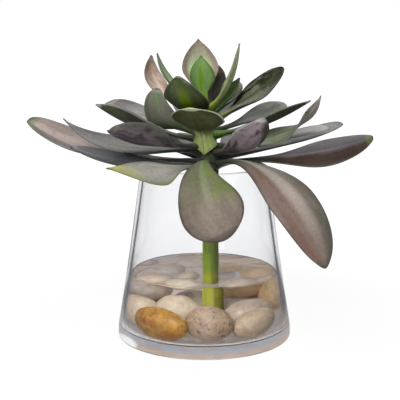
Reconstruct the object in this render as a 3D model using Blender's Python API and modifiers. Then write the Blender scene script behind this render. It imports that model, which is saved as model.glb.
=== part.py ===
"""Potted echeveria: a rosette on a bare stem, stood in a tapered glass vase of clear water and pebbles.

Run with: blender --background --python part.py
The origin is the centre of the vase's foot, with +Z up and +Y towards the back. The tables are in
millimetres and degrees, and MM turns them into Blender's metres.
"""

import math
from dataclasses import dataclass

import bmesh
import bpy
import numpy as np
from mathutils import Euler, Vector
from mathutils.bvhtree import BVHTree

MM = 0.001
GAP = 0.3  # clearance between pieces that touch

# Vase: a thick-bottomed tumbler that narrows towards its open rim.
VASE_HEIGHT = 140.0
HEEL_RADIUS = 70.8
HEEL_HEIGHT = 8.0
HEEL_ROUND = 2.6
WALL_MID_RADIUS = 60.2
WALL_MID_HEIGHT = 75.0
RIM_RADIUS = 51.4
WALL = 3.6
FLOOR_HEIGHT = 8.7
INNER_CORNER = 5.0
VASE_STEPS = 48

WATER_HEIGHT = 53.2
WATER_STEPS = 48

# Stem: upright in the vase, then leaning a little to the left inside the rosette, where it swells and tapers.
STEM_RADIUS = 6.5
CROWN_RADIUS = 7.4
CROWN_HEIGHT = 158.0
STEM_TIP_RADIUS = 2.6
STEM_BOTTOM = 11.7
STEM_TOP = 193.0
STEM_X = 5.0
STEM_Y = -6.0
LEAN_START = 140.0
LEAN = 0.10
STEM_SIDES = 10
STEM_RINGS = 14

LEAF_SIDES = 10
LEAF_RINGS = 12
PEBBLE_SIDES = 10
PEBBLE_RINGS = 7

STEM_GREEN = (0.25, 0.42, 0.06)
GLASS = (0.95, 0.96, 0.97)
WATER = (0.93, 0.93, 0.91)
LEAF_COLOURS = {
    "leaf_outer": (0.26, 0.22, 0.21),
    "leaf_middle": (0.22, 0.23, 0.20),
    "leaf_inner": (0.15, 0.25, 0.11),
}
STONES = {
    "cream": (0.62, 0.54, 0.43),
    "tan": (0.60, 0.45, 0.28),
    "grey": (0.50, 0.43, 0.38),
    "orange": (0.55, 0.33, 0.10),
    "speckled": (0.50, 0.40, 0.33),
}


@dataclass(frozen=True)
class Leaf:
    """One leaf: where it leaves the stem, where its tip ends, and the form of its blade."""

    name: str
    turn: float  # compass direction, counter-clockwise from +X
    node: float  # height of its foot above the table
    reach: float  # from the stem out to the tip
    rise: float  # tip above the foot
    leave: float  # slope at the foot
    end: float  # slope at the tip
    width: float
    roll: float = 0.0  # turn about its own length, positive lifting the left margin
    cup: float = 0.30  # how far the margins stand above the midrib, as a share of the half width
    wide: float = 0.62  # where the blade is widest, as a share of the length
    sway: float = 0.0  # sideways bow of the midrib
    uneven: float = 0.0  # share by which the left half is wider than the right
    foot: float = 5.6  # width where it joins the stem
    thick: float = 3.8  # thickness near the foot
    tip: float = 1.7  # 2 is a round tip, 1 is a pointed one
    neck: float = 1.2  # above 1 the blade stays narrow for longer
    bend: float = 0.38  # length of the curve's handles, as a share of foot to tip
    hook: float = 0.0  # how far the tip bends to the left, in the blade's own plane
    twist: float = 0.0  # further roll between the widest place and the tip


LEAVES = (
    # Lowest whorl: the longest leaves, level or drooping over the rim.
    Leaf("leaf_far_left", 168, 144, 157, 26, 0, 26, 31, roll=-24, wide=0.74, tip=2.6, hook=-8),
    Leaf("leaf_left_low", 200, 140.5, 112, 19, 3, 22, 26, roll=-22, cup=0.10, foot=7, neck=0.95),
    Leaf("leaf_left_droop", 229, 140, 113, 10, 5.5, 5, 27, roll=-39, cup=0.15, wide=0.62, tip=0.9,
         neck=1.8, uneven=0.6),
    Leaf("leaf_front_droop", 279, 141, 66, -46, 24, -86, 49, cup=-0.10, wide=0.82, neck=1.35, sway=-15,
         tip=2.2, bend=0.55, foot=6.2),
    Leaf("leaf_right_droop", 316, 142, 115, -65, 20, -75, 40, roll=22, cup=-0.20),
    Leaf("leaf_far_right", 356, 143, 128, 18.5, 6, 18, 31, roll=34, cup=-0.12, wide=0.72, tip=2.1, hook=4),
    Leaf("leaf_right_back_long", 30, 146, 130, 22.5, 4, 14, 20, roll=12, cup=0.05, tip=3.4, wide=0.84),
    Leaf("leaf_right_back_mid", 19, 150.5, 103.5, 17.5, 7, 8, 21, roll=8, cup=0.05, tip=3.4, wide=0.84),
    Leaf("leaf_back_right_low", 66, 145, 112, 14, 8, 4, 33),
    Leaf("leaf_back_low", 99, 142, 118, 12, 5, 4, 35),
    Leaf("leaf_back_left_low", 133, 145, 112, 18, 6, 8, 34),
    # Second whorl.
    Leaf("leaf_left_needle", 179, 153, 115, 24, 2, 46, 27, roll=-25, wide=0.42, tip=0.9),
    Leaf("leaf_left_purple", 211, 157, 86, 15.5, 2, 24, 33, roll=28, cup=0.45, wide=0.70, tip=2.6),
    Leaf("leaf_right_purple", 322, 153, 52, 27, -4, 86, 32, roll=-20, cup=0.60, wide=0.60, tip=2.2,
         bend=0.44, foot=8, neck=0.8),
    Leaf("leaf_right_twist", 6, 156.5, 90, 38, -2, 68, 22, roll=30, cup=0.15, wide=0.46, tip=1.15,
         twist=-100),
    # Third whorl.
    Leaf("leaf_left_blade", 176, 162, 88.5, 26, 5, 34, 32, roll=14, cup=0.50, wide=0.70, tip=1.4),
    Leaf("leaf_left_back", 147, 166, 98, 21, 8, 20, 31, roll=-14, cup=0.15, tip=3.2, wide=0.76),
    Leaf("leaf_front_fan", 251, 158.5, 43, 30, 56, 38, 43, cup=0.15, wide=0.57, tip=1.8, neck=1.8, foot=11),
    Leaf("leaf_right_blade", 356, 166, 80, 26, 6, 32, 23, roll=-8, cup=0.40, tip=1.4, neck=0.8, foot=8),
    Leaf("leaf_right_back", 34, 168, 77, 18.5, 8, 16, 23, roll=20, cup=0.08, tip=2.8, wide=0.82),
    Leaf("leaf_back_right", 68, 171, 66, 18, 12, 14, 28),
    Leaf("leaf_back", 104, 166, 84, 22, 12, 16, 32),
    # Fourth whorl: half upright.
    Leaf("leaf_left_cup", 188, 170, 39, 31, -4, 98, 32, roll=40, cup=0.10, tip=2.3, bend=0.46,
         uneven=-0.30, wide=0.60, foot=4.2),
    Leaf("leaf_front_left", 235, 182, 37, 29.5, 5, 96, 40, wide=0.48, tip=2.0, bend=0.46, foot=10, neck=0.87),
    Leaf("leaf_right_tall", 12, 177, 62, 40, 20, 44, 30, roll=24, wide=0.66, tip=2.2, neck=0.9, uneven=-0.25),
    Leaf("leaf_back_brown", 58, 179, 50, 26, 26, 45, 26),
    Leaf("leaf_back_left_high", 122, 178, 48, 28, 26, 44, 26),
    # Heart of the rosette: small upright leaves.
    Leaf("leaf_heart_left", 164, 184.5, 45, 42, 14, 112, 25, roll=-14, thick=3.2, bend=0.44),
    Leaf("leaf_heart_left_in", 178, 190, 37, 38, 24, 84, 15, roll=-10, thick=2.8),
    Leaf("leaf_heart_right", 2, 187, 27, 48.5, 34, 86, 23, thick=3.0, wide=0.50, tip=1.2, neck=0.8),
    Leaf("leaf_heart_right_in", 22, 181.5, 29, 27, 36, 70, 24, thick=3.0),
    Leaf("leaf_heart_back_right", 77, 186, 33, 34, 22, 86, 24, thick=3.0, tip=2.2),
    Leaf("leaf_heart_tall", 104, 191, 20, 48, 50, 88, 30, wide=0.55, tip=1.3, thick=3.2, foot=5),
    Leaf("leaf_heart_inner", 250, 192.5, 8, 34, 80, 95, 21, wide=0.5, tip=1.4, thick=2.6, foot=4),
)


@dataclass(frozen=True)
class Pebble:
    """One river pebble. It lies as low as it can near (x, y), on the floor or on the pebbles before it."""

    name: str
    x: float
    y: float
    long: float
    broad: float
    high: float
    turn: float = 0.0
    tilt: float = 0.0  # lean of its long axis
    pitch: float = 0.0  # lean of its broad axis
    stone: str = "cream"


PEBBLES = (
    Pebble("pebble_front", 4, -48, 37, 23, 28, turn=-12, stone="speckled"),
    Pebble("pebble_orange", -32.5, -42, 48, 23, 24, turn=-38, tilt=4, stone="orange"),
    Pebble("pebble_right", 36, -37, 39, 22, 19, turn=35, tilt=-12),
    Pebble("pebble_left", -42, 0, 40, 24, 22, turn=-20),
    Pebble("pebble_back_left", -32, 36, 34, 22, 22, turn=140, stone="grey"),
    Pebble("pebble_back", 3, 49, 34, 22, 20, turn=178),
    Pebble("pebble_back_right", 30, 40, 30, 22, 22, turn=45, stone="tan"),
    Pebble("pebble_centre_left", -14, 8, 30, 20, 22, turn=75),
    Pebble("pebble_centre_back", 16, 16, 30, 22, 18, turn=60, stone="grey"),
    Pebble("pebble_right_top", 28, -13, 36, 24, 22, turn=25, tilt=-10, stone="grey"),
    Pebble("pebble_cream_top", -16, -19, 31, 24, 22, turn=-12, tilt=8),
    Pebble("pebble_right_wall", 44, 8, 38, 24, 26, turn=10, tilt=-55, stone="tan"),
    Pebble("pebble_left_top", -30, 18, 32, 22, 18, turn=30, stone="grey"),
    Pebble("pebble_back_top", -8, 34, 34, 24, 17, turn=165, stone="grey"),
    Pebble("pebble_tan_top", 20, 27, 32, 24, 18, turn=20, stone="tan"),
)


def collection_named(name):
    """A collection in the scene for objects that belong together."""
    made = bpy.data.collections.new(name)
    bpy.context.scene.collection.children.link(made)
    return made


def material_named(name, colour, roughness, transmission=0.0):
    """A Principled material in one colour."""
    found = bpy.data.materials.get(name)
    if found:
        return found
    made = bpy.data.materials.new(name)
    made.use_nodes = True
    shader = made.node_tree.nodes["Principled BSDF"]
    shader.inputs["Base Color"].default_value = (*colour, 1.0)
    shader.inputs["Roughness"].default_value = roughness
    shader.inputs["Transmission Weight"].default_value = transmission
    return made


def object_from(bm, name, collection, material=None):
    """Turns a bmesh in millimetres into a smooth-shaded object in metres."""
    bmesh.ops.scale(bm, vec=(MM, MM, MM), verts=bm.verts)
    bmesh.ops.recalc_face_normals(bm, faces=bm.faces)
    mesh = bpy.data.meshes.new(name)
    bm.to_mesh(mesh)
    bm.free()
    mesh.shade_smooth()
    if material:
        mesh.materials.append(material)
    made = bpy.data.objects.new(name, mesh)
    collection.objects.link(made)
    return made


def turned(name, profile, steps, collection, material=None):
    """A solid of revolution about Z, from (radius, height) points that run down its outer side."""
    mesh = bpy.data.meshes.new(name)
    points = [(radius * MM, 0.0, height * MM) for radius, height in profile]
    edges = [(i, i + 1) for i in range(len(points) - 1)]
    mesh.from_pydata(points, edges, [])
    if material:
        mesh.materials.append(material)
    made = bpy.data.objects.new(name, mesh)
    collection.objects.link(made)
    screw = made.modifiers.new("turn", "SCREW")
    screw.steps = steps
    screw.render_steps = steps
    screw.use_merge_vertices = True
    screw.merge_threshold = 0.1 * GAP * MM
    screw.use_smooth_shade = True
    return made


def arc(centre, radius, start, stop, steps):
    """Points along a circular arc in the (radius, height) plane, angles in degrees."""
    found = []
    for i in range(steps + 1):
        angle = math.radians(start + (stop - start) * i / steps)
        found.append((centre[0] + radius * math.cos(angle), centre[1] + radius * math.sin(angle)))
    return found


def wall_radius(height):
    """Outer radius of the vase at a height: a slight inward bow between the heel and the rim."""
    low, mid, high = HEEL_HEIGHT, WALL_MID_HEIGHT, VASE_HEIGHT
    share = (height - mid) * (height - high) / ((low - mid) * (low - high))
    middle = (height - low) * (height - high) / ((mid - low) * (mid - high))
    top = (height - low) * (height - mid) / ((high - low) * (high - mid))
    return HEEL_RADIUS * share + WALL_MID_RADIUS * middle + RIM_RADIUS * top


def inner_radius(height):
    """Radius of the vase's bore at a height."""
    return wall_radius(height) - WALL


def vase_profile():
    """The vase's section, from the middle of the floor up the bore, over the rim and down to the foot."""
    lip = WALL / 2
    rim_centre = (wall_radius(VASE_HEIGHT) - lip, VASE_HEIGHT - lip)
    corner = (inner_radius(FLOOR_HEIGHT + INNER_CORNER) - INNER_CORNER, FLOOR_HEIGHT + INNER_CORNER)
    heights = (35.0, 60.0, 85.0, 110.0)
    bore = [(inner_radius(h), h) for h in heights]
    outside = [(wall_radius(h), h) for h in reversed(heights)]
    heel = arc((HEEL_RADIUS - HEEL_ROUND, HEEL_ROUND), HEEL_ROUND, 0, -80, 4)
    inside = [(0.0, FLOOR_HEIGHT)] + arc(corner, INNER_CORNER, -90, 0, 4) + bore
    over_rim = arc(rim_centre, lip, 180, 0, 6)
    down = outside + [(wall_radius(HEEL_HEIGHT + 6), HEEL_HEIGHT + 6)] + heel
    return inside + over_rim + down + [(HEEL_RADIUS - HEEL_ROUND, 0.0), (0.0, 0.0)]


def smooth(share):
    """Smoothstep from 0 to 1."""
    share = min(1.0, max(0.0, share))
    return share * share * (3 - 2 * share)


def stem_centre(height):
    """Middle of the stem at a height."""
    return Vector((STEM_X - LEAN * max(0.0, height - LEAN_START), STEM_Y, height))


def stem_radius(height):
    """The stem keeps its thickness in the vase, swells under the lower leaves and tapers above them."""
    if height < CROWN_HEIGHT:
        swell = smooth((height - LEAN_START) / (CROWN_HEIGHT - LEAN_START))
        return STEM_RADIUS + (CROWN_RADIUS - STEM_RADIUS) * swell
    share = (height - CROWN_HEIGHT) / (STEM_TOP - CROWN_HEIGHT)
    return CROWN_RADIUS + (STEM_TIP_RADIUS - CROWN_RADIUS) * share


def half_width(leaf, along):
    """Half the blade's width, at a share of its length."""
    full = leaf.width / 2
    if along <= leaf.wide:
        return leaf.foot / 2 + (full - leaf.foot / 2) * smooth((along / leaf.wide) ** leaf.neck)
    beyond = (along - leaf.wide) / (1 - leaf.wide)
    return full * max(0.0, 1 - beyond**2) ** (1 / leaf.tip)


def midrib(leaf, along):
    """Point on the midrib and its direction there, from a cubic curve in the leaf's own upright plane."""
    turn = math.radians(leaf.turn)
    out = Vector((math.cos(turn), math.sin(turn), 0))
    left = Vector((-math.sin(turn), math.cos(turn), 0))
    leave, end = math.radians(leaf.leave), math.radians(leaf.end)
    start = Vector((stem_radius(leaf.node) + GAP + leaf.thick / 2 * max(0.0, math.sin(leave)), 0))
    finish = Vector((leaf.reach, leaf.rise))
    handle = leaf.bend * (finish - start).length
    first = start + handle * Vector((math.cos(leave), math.sin(leave)))
    second = finish - handle * Vector((math.cos(end), math.sin(end)))
    t, u = along, 1 - along
    flat = u**3 * start + 3 * u * u * t * first + 3 * u * t * t * second + t**3 * finish
    slope = u * u * (first - start) + 2 * u * t * (second - first) + t * t * (finish - second)
    place = stem_centre(leaf.node) + out * flat.x + Vector((0, 0, flat.y)) + left * leaf.sway * 4 * t * u
    heading = out * slope.x + Vector((0, 0, slope.y)) + left * leaf.sway * 4 * (1 - 2 * t) / 3
    return place, heading.normalized(), left


def leaf_point(leaf, along, across, up):
    """Point of the leaf's skin: along its length, across from -1 to 1, and from -1, under, to 1, on top."""
    place, heading, left = midrib(leaf, along)
    top = heading.cross(left).normalized()
    side = top.cross(heading)
    beyond = smooth((along - leaf.wide) / (1 - leaf.wide))
    roll = math.radians(leaf.roll * smooth(along / leaf.wide) + leaf.twist * beyond)
    side, top = side * math.cos(roll) + top * math.sin(roll), top * math.cos(roll) - side * math.sin(roll)
    half = half_width(leaf, along) * (1 + leaf.uneven * (1 if across > 0 else -1))
    curl = leaf.cup * half * across**2 * smooth(along / 0.4)
    body = leaf.thick * (1 - 0.6 * along) / 2
    return place + side * (half * across + leaf.hook * along**4) + top * (curl + body * up)


def build_leaf(leaf, collection):
    """A fleshy leaf: a sphere drawn out along the midrib and pressed to the blade's section."""
    bm = bmesh.new()
    bmesh.ops.create_uvsphere(bm, u_segments=LEAF_SIDES, v_segments=LEAF_RINGS, radius=1)
    for vert in bm.verts:
        around = math.hypot(vert.co.x, vert.co.y)
        across, up = (vert.co.x / around, vert.co.y / around) if around > 1e-4 else (0.0, 0.0)
        vert.co = leaf_point(leaf, (1 - vert.co.z) / 2, across, up)
    slot = "leaf_outer" if leaf.node < 152 else "leaf_middle" if leaf.node < 175 else "leaf_inner"
    return object_from(bm, leaf.name, collection, material_named(slot, LEAF_COLOURS[slot], 0.5))


def stem_rings(bottom, top, rings, swell):
    """A closed loft of round sections up the stem, swollen outwards by a clearance."""
    bm = bmesh.new()
    bmesh.ops.create_cone(bm, cap_ends=True, segments=STEM_SIDES, radius1=1, radius2=1, depth=1)
    walls = [edge for edge in bm.edges if abs(edge.verts[0].co.z - edge.verts[1].co.z) > 0.5]
    bmesh.ops.subdivide_edges(bm, edges=walls, cuts=rings - 1)
    for vert in bm.verts:
        height = bottom + (top - bottom) * (vert.co.z + 0.5)
        around = Vector((vert.co.x, vert.co.y, 0)) * (stem_radius(height) + swell)
        vert.co = stem_centre(height) + around
    return bm


def pebble_mesh(pebble, swell):
    """A lumpy ellipsoid with its middle at the origin, swollen outwards by a clearance."""
    bm = bmesh.new()
    bmesh.ops.create_uvsphere(bm, u_segments=PEBBLE_SIDES, v_segments=PEBBLE_RINGS, radius=1)
    tilt = Euler([math.radians(a) for a in (pebble.pitch, pebble.tilt, pebble.turn)])
    phase = pebble.x * 0.13 + pebble.y * 0.07
    for vert in bm.verts:
        way = vert.co.normalized()
        lump = 1 + 0.05 * math.sin(2.3 * way.x + phase) + 0.04 * math.sin(3.1 * way.y - 2 * phase)
        size = Vector((pebble.long, pebble.broad, pebble.high)) / 2 * lump
        vert.co = Vector(w * s for w, s in zip(way, size))
    bmesh.ops.recalc_face_normals(bm, faces=bm.faces)
    bm.normal_update()
    for vert in bm.verts:
        vert.co += vert.normal * swell
    bmesh.ops.rotate(bm, cent=(0, 0, 0), matrix=tilt.to_matrix(), verts=bm.verts)
    return bm


def tree_at(bm, place):
    """Surface of a bmesh moved to a place, for overlap tests."""
    points = [vert.co + place for vert in bm.verts]
    return BVHTree.FromPolygons(points, [[v.index for v in f.verts] for f in bm.faces])


def bore_tree():
    """The vase's floor and bore as a surface, for overlap tests."""
    heights = (FLOOR_HEIGHT, FLOOR_HEIGHT + 1.5, FLOOR_HEIGHT + INNER_CORNER, 30.0, 50.0, 80.0)
    radii = [inner_radius(h) for h in heights]
    radii[0] -= INNER_CORNER
    radii[1] -= 0.45 * INNER_CORNER
    points, faces = [(0, 0, FLOOR_HEIGHT)], []
    count = 72
    for radius, height in zip(radii, heights):
        for i in range(count):
            angle = 2 * math.pi * i / count
            points.append((radius * math.cos(angle), radius * math.sin(angle), height))
    for i in range(count):
        j = (i + 1) % count
        faces.append((0, 1 + i, 1 + j))
        for ring in range(len(heights) - 1):
            low, high = 1 + ring * count, 1 + (ring + 1) * count
            faces.append((low + i, low + j, high + j, high + i))
    return BVHTree.FromPolygons(points, faces)


def resting_place(pebble, obstacles):
    """Lowest free place for the pebble's middle, at its own spot or pushed a little in from the wall."""
    body = pebble_mesh(pebble, GAP)
    spot = Vector((pebble.x, pebble.y, 0))
    try:
        for level in range(90):
            for push in range(7):
                place = spot * (1 - 0.03 * push)
                place.z = FLOOR_HEIGHT + pebble.high / 2 + 0.4 * level
                tree = tree_at(body, place)
                if not any(tree.overlap(other) for other in obstacles):
                    return place
    finally:
        body.free()
    raise RuntimeError("no room for " + pebble.name)


def build_pebbles(collection, cutters):
    """Lays the pebbles one by one, and leaves a slightly larger cutter around each for the water."""
    body = stem_rings(STEM_BOTTOM, STEM_TOP, STEM_RINGS, GAP)
    obstacles = [bore_tree(), tree_at(body, Vector())]
    body.free()
    for pebble in PEBBLES:
        place = resting_place(pebble, obstacles)
        for swell, name, where in ((0.0, pebble.name, collection), (0.5, "cut_" + pebble.name, cutters)):
            bm = pebble_mesh(pebble, swell)
            bmesh.ops.translate(bm, vec=place, verts=bm.verts)
            if swell == 0.0:
                obstacles.append(tree_at(bm, Vector()))
            stone = material_named("stone_" + pebble.stone, STONES[pebble.stone], 0.55)
            object_from(bm, name, where, stone)


def build_water(collection, cutters):
    """The clear fill: the bore's shape up to the surface, less the pebbles and the stem."""
    base = FLOOR_HEIGHT + GAP
    corner_height = FLOOR_HEIGHT + INNER_CORNER
    corner = (inner_radius(corner_height) - INNER_CORNER, corner_height)
    side = [(inner_radius(h) - GAP, h) for h in (WATER_HEIGHT, 35.0)]
    edge = arc(corner, INNER_CORNER - GAP, 0, -90, 3)
    profile = [(0.0, WATER_HEIGHT)] + side + edge + [(0.0, base)]
    made = turned("water_fill", profile, WATER_STEPS, collection, material_named("water", WATER, 0.0, 1.0))
    cut = made.modifiers.new("pebbles_and_stem", "BOOLEAN")
    cut.operation = "DIFFERENCE"
    cut.operand_type = "COLLECTION"
    cut.collection = cutters
    cut.solver = "EXACT"
    return made


def main():
    """Builds every piece of the potted echeveria."""
    for old in list(bpy.data.objects):
        bpy.data.objects.remove(old)
    plant = collection_named("potted_echeveria")
    cutters = collection_named("cutters")

    turned("glass_vase", vase_profile(), VASE_STEPS, plant, material_named("glass", GLASS, 0.0, 1.0))
    stem = stem_rings(STEM_BOTTOM, STEM_TOP, STEM_RINGS, 0.0)
    object_from(stem, "stem", plant, material_named("stem", STEM_GREEN, 0.45))
    object_from(stem_rings(STEM_BOTTOM - GAP, 60.0, 4, GAP), "cut_stem", cutters)
    for leaf in LEAVES:
        build_leaf(leaf, plant)
    build_pebbles(plant, cutters)
    build_water(plant, cutters)
    for cutter in cutters.objects:
        cutter.hide_render = True
        cutter.display_type = "WIRE"


main()
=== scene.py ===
"""Potted echeveria: an open rosette on a bare stem, in a clear tumbler of water and pebbles.

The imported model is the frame. Each leaf, the stem, the vase, its fill and each pebble gets a fine
mesh and a finish of its own, in metres, with +Z up, +X to the right and +Y to the back.
"""

from __future__ import annotations

import logging
import math
from collections.abc import Sequence
from dataclasses import dataclass
from enum import Enum

import bmesh
import bpy
import numpy as np
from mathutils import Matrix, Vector, noise


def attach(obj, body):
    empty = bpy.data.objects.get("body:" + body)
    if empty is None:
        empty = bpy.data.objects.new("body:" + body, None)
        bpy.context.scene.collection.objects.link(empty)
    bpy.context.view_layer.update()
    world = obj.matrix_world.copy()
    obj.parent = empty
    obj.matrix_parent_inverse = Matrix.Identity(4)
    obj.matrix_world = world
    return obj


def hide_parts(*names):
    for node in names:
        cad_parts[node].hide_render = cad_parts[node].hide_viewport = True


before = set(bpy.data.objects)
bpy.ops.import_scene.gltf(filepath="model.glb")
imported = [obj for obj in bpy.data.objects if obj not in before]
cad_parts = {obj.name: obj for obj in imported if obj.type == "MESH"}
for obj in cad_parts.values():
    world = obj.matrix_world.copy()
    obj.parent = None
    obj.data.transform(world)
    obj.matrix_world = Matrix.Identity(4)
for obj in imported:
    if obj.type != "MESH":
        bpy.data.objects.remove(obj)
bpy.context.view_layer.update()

log = logging.getLogger("echeveria")

Triple = tuple[float, float, float]
Colour = Triple
Stops = Sequence[tuple[float, Colour]]
Outline = list[tuple[float, float]]
Socket = bpy.types.NodeSocket

MM = 0.001
WHITE: Colour = (1.0, 1.0, 1.0)


def smooth(value: np.ndarray | float) -> np.ndarray:
    """Smoothstep of a value held between 0 and 1."""
    held = np.clip(value, 0.0, 1.0)
    return held * held * (3 - 2 * held)


# Shader graphs


class Graph:
    """A node tree, with short calls for the nodes that the finishes and the studio share."""

    def __init__(self, owner: bpy.types.Material | bpy.types.World) -> None:
        """Clears the owner's nodes and gives it an output.

        Args:
            owner: The material or world that the nodes belong to.
        """
        self.owner = owner
        owner.use_nodes = True
        self.tree = owner.node_tree
        self.tree.nodes.clear()
        is_world = isinstance(owner, bpy.types.World)
        self.output = self.node("OutputWorld" if is_world else "OutputMaterial")

    @classmethod
    def for_material(cls, name: str) -> Graph:
        """A graph for a new material of this name."""
        return cls(bpy.data.materials.new(name))

    def node(self, kind: str) -> bpy.types.Node:
        """A new shader node of this kind."""
        return self.tree.nodes.new(f"ShaderNode{kind}")

    def put(self, socket: Socket, value: object) -> None:
        """Links a socket to another node's output, or sets its value.

        Args:
            socket: The input to fill.
            value: An output socket, a number, or a colour or vector.
        """
        if isinstance(value, bpy.types.NodeSocket):
            self.tree.links.new(value, socket)
        elif isinstance(value, (int, float)):
            socket.default_value = value
        elif socket.type == "RGBA":
            socket.default_value = (*value[:3], 1.0)
        else:
            socket.default_value = value

    def add(
        self, kind: str, inputs: dict[int | str, object], output: int | str = 0, **options: str
    ) -> Socket:
        """A new node with its inputs filled.

        Args:
            kind: The node's kind.
            inputs: What each input gets, by number or name.
            output: The number or name of the output that is used.
            **options: The node's own settings.

        Returns:
            The output.
        """
        node = self.node(kind)
        for name, value in options.items():
            setattr(node, name, value)
        for key, value in inputs.items():
            self.put(node.inputs[key], value)
        return node.outputs[output]

    def math(self, operation: str, first: object, second: object = 0.0) -> Socket:
        """The result of a Math node."""
        return self.add("Math", {0: first, 1: second}, operation=operation)

    def times(self, first: object, second: object) -> Socket:
        """The product of two values."""
        return self.math("MULTIPLY", first, second)

    def between(
        self, value: object, low: float, high: float, start: float = 0.0, stop: float = 1.0
    ) -> Socket:
        """A smooth step of a value: start below low, stop above high."""
        inputs = dict(enumerate((value, low, high, start, stop)))
        return self.add("MapRange", inputs, interpolation_type="SMOOTHSTEP")

    def mix(self, factor: object, first: object, second: object, blend: str = "MIX") -> Socket:
        """A mix of two colours, where the factor is the share of the second one."""
        inputs = {0: factor, 6: first, 7: second}
        return self.add("Mix", inputs, 2, data_type="RGBA", blend_type=blend)

    def shaded(self, skin: Socket, tone: Socket) -> Socket:
        """A colour made lighter or darker by a tone, with 1 for no change."""
        return self.mix(1.0, skin, self.vector(tone, tone, tone), "MULTIPLY")

    def ramp(self, value: object, stops: Stops) -> Socket:
        """A colour ramp.

        Args:
            value: Where along the ramp.
            stops: Positions and colours, in order.

        Returns:
            The ramp's colour.
        """
        node = self.node("ValToRGB")
        node.color_ramp.interpolation = "EASE"
        marks = node.color_ramp.elements
        while len(marks) < len(stops):
            marks.new(0.5)
        for mark, (position, colour) in zip(marks, stops):
            mark.position = position
            mark.color = (*colour, 1.0)
        self.put(node.inputs[0], value)
        return node.outputs[0]

    def here(self) -> Socket:
        """The surface's place on its own object."""
        return self.add("TexCoord", {}, "Object")

    def moved(self, vector: object, scale: Triple, offset: Triple) -> Socket:
        """A vector, stretched and then shifted."""
        return self.add("Mapping", {"Vector": vector, "Location": offset, "Scale": scale})

    def place(self, scale: Triple = (1, 1, 1), offset: float = 0.0) -> Socket:
        """The surface's place, stretched, and shifted alike on every axis."""
        return self.moved(self.here(), scale, (offset,) * 3)

    def noise(
        self, vector: object, scale: float, detail: float, rough: float, warp: float = 0.0
    ) -> Socket:
        """Soft fractal noise around 0.5, of a fineness, octaves, roughness and distortion."""
        names = ("Vector", "Scale", "Detail", "Roughness", "Distortion")
        return self.add("TexNoise", dict(zip(names, (vector, scale, detail, rough, warp))), "Fac")

    def cells(self, vector: object, scale: float) -> Socket:
        """Distance to the nearest of many scattered points."""
        return self.add("TexVoronoi", {"Vector": vector, "Scale": scale}, "Distance")

    def stored(self, name: str) -> Socket:
        """A number that the mesh stores at each point."""
        return self.add("Attribute", {}, "Fac", attribute_name=name)

    def vector(self, x: object, y: object, z: object) -> Socket:
        """A vector from three values."""
        return self.add("CombineXYZ", {0: x, 1: y, 2: z})

    def part(self, vector: object, axis: str) -> Socket:
        """One axis of a vector."""
        return self.add("SeparateXYZ", {0: vector}, axis)

    def length(self, vector: object) -> Socket:
        """A vector's length."""
        return self.add("VectorMath", {0: vector}, "Value", operation="LENGTH")

    def bump(self, height: object, strength: float, depth: float) -> Socket:
        """The normal bent by a height, with the relief's depth in metres."""
        return self.add("Bump", {"Strength": strength, "Distance": depth, "Height": height})

    def ray(self, kind: str) -> Socket:
        """1 for rays of this kind, such as Camera, and 0 for all others."""
        return self.add("LightPath", {}, f"Is {kind} Ray")

    def background(self, colour: object, strength: float = 1.0) -> Socket:
        """A Background shader."""
        return self.add("Background", {"Color": colour, "Strength": strength})

    def choose(self, factor: object, first: Socket, second: Socket) -> Socket:
        """A mix of two shaders, where the factor is the share of the second one."""
        return self.add("MixShader", {0: factor, 1: first, 2: second})

    def principled(self, **inputs: object) -> bpy.types.Node:
        """A Principled BSDF.

        Args:
            **inputs: Input values by name, with _ for each space.

        Returns:
            The node.
        """
        node = self.node("BsdfPrincipled")
        for name, value in inputs.items():
            self.put(node.inputs[name.replace("_", " ")], value)
        return node

    def finish(self, shader: Socket) -> bpy.types.Material | bpy.types.World:
        """Sends a shader to the output and returns the material or world."""
        self.tree.links.new(shader, self.output.inputs["Surface"])
        return self.owner


# Meshes


def grid_object(
    name: str, points: np.ndarray, stored: dict[str, np.ndarray] | None = None
) -> bpy.types.Object:
    """A closed skin from rings of points, with a point at each end.

    Args:
        name: The object's name.
        points: Rings by sides by 3, in metres. The first and last ring are one point each.
        stored: Values to keep at each point, by name, rings by sides.

    Returns:
        The new object, in the scene.
    """
    rings, sides = points.shape[:2]
    inner = points[1:-1].reshape(-1, 3)
    spots = np.vstack([points[:1, 0], inner, points[-1:, 0]])
    last = len(spots) - 1

    def at(ring: int, side: int) -> int:
        """Index of a point."""
        return 1 + (ring - 1) * sides + side % sides

    faces: list[tuple[int, ...]] = []
    for side in range(sides):
        faces.append((0, at(1, side + 1), at(1, side)))
        faces.append((last, at(rings - 2, side), at(rings - 2, side + 1)))
        for ring in range(1, rings - 2):
            here, beside = at(ring, side), at(ring, side + 1)
            faces.append((here, beside, at(ring + 1, side + 1), at(ring + 1, side)))
    mesh = bpy.data.meshes.new(name)
    mesh.from_pydata([tuple(p) for p in spots], [], faces)
    for key, values in (stored or {}).items():
        flat = np.concatenate([values[:1, 0], values[1:-1].ravel(), values[-1:, 0]])
        layer = mesh.attributes.new(key, "FLOAT", "POINT")
        layer.data.foreach_set("value", flat.astype(np.float32))
    mesh.shade_smooth()
    return linked(name, mesh)


def linked(name: str, mesh: bpy.types.Mesh) -> bpy.types.Object:
    """A new object for a mesh, in the scene, with its faces pointing out.

    Args:
        name: The object's name.
        mesh: The mesh.

    Returns:
        The object.
    """
    bm = bmesh.new()
    bm.from_mesh(mesh)
    bmesh.ops.recalc_face_normals(bm, faces=bm.faces)
    bm.to_mesh(mesh)
    bm.free()
    made = bpy.data.objects.new(name, mesh)
    bpy.context.scene.collection.objects.link(made)
    return made


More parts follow.
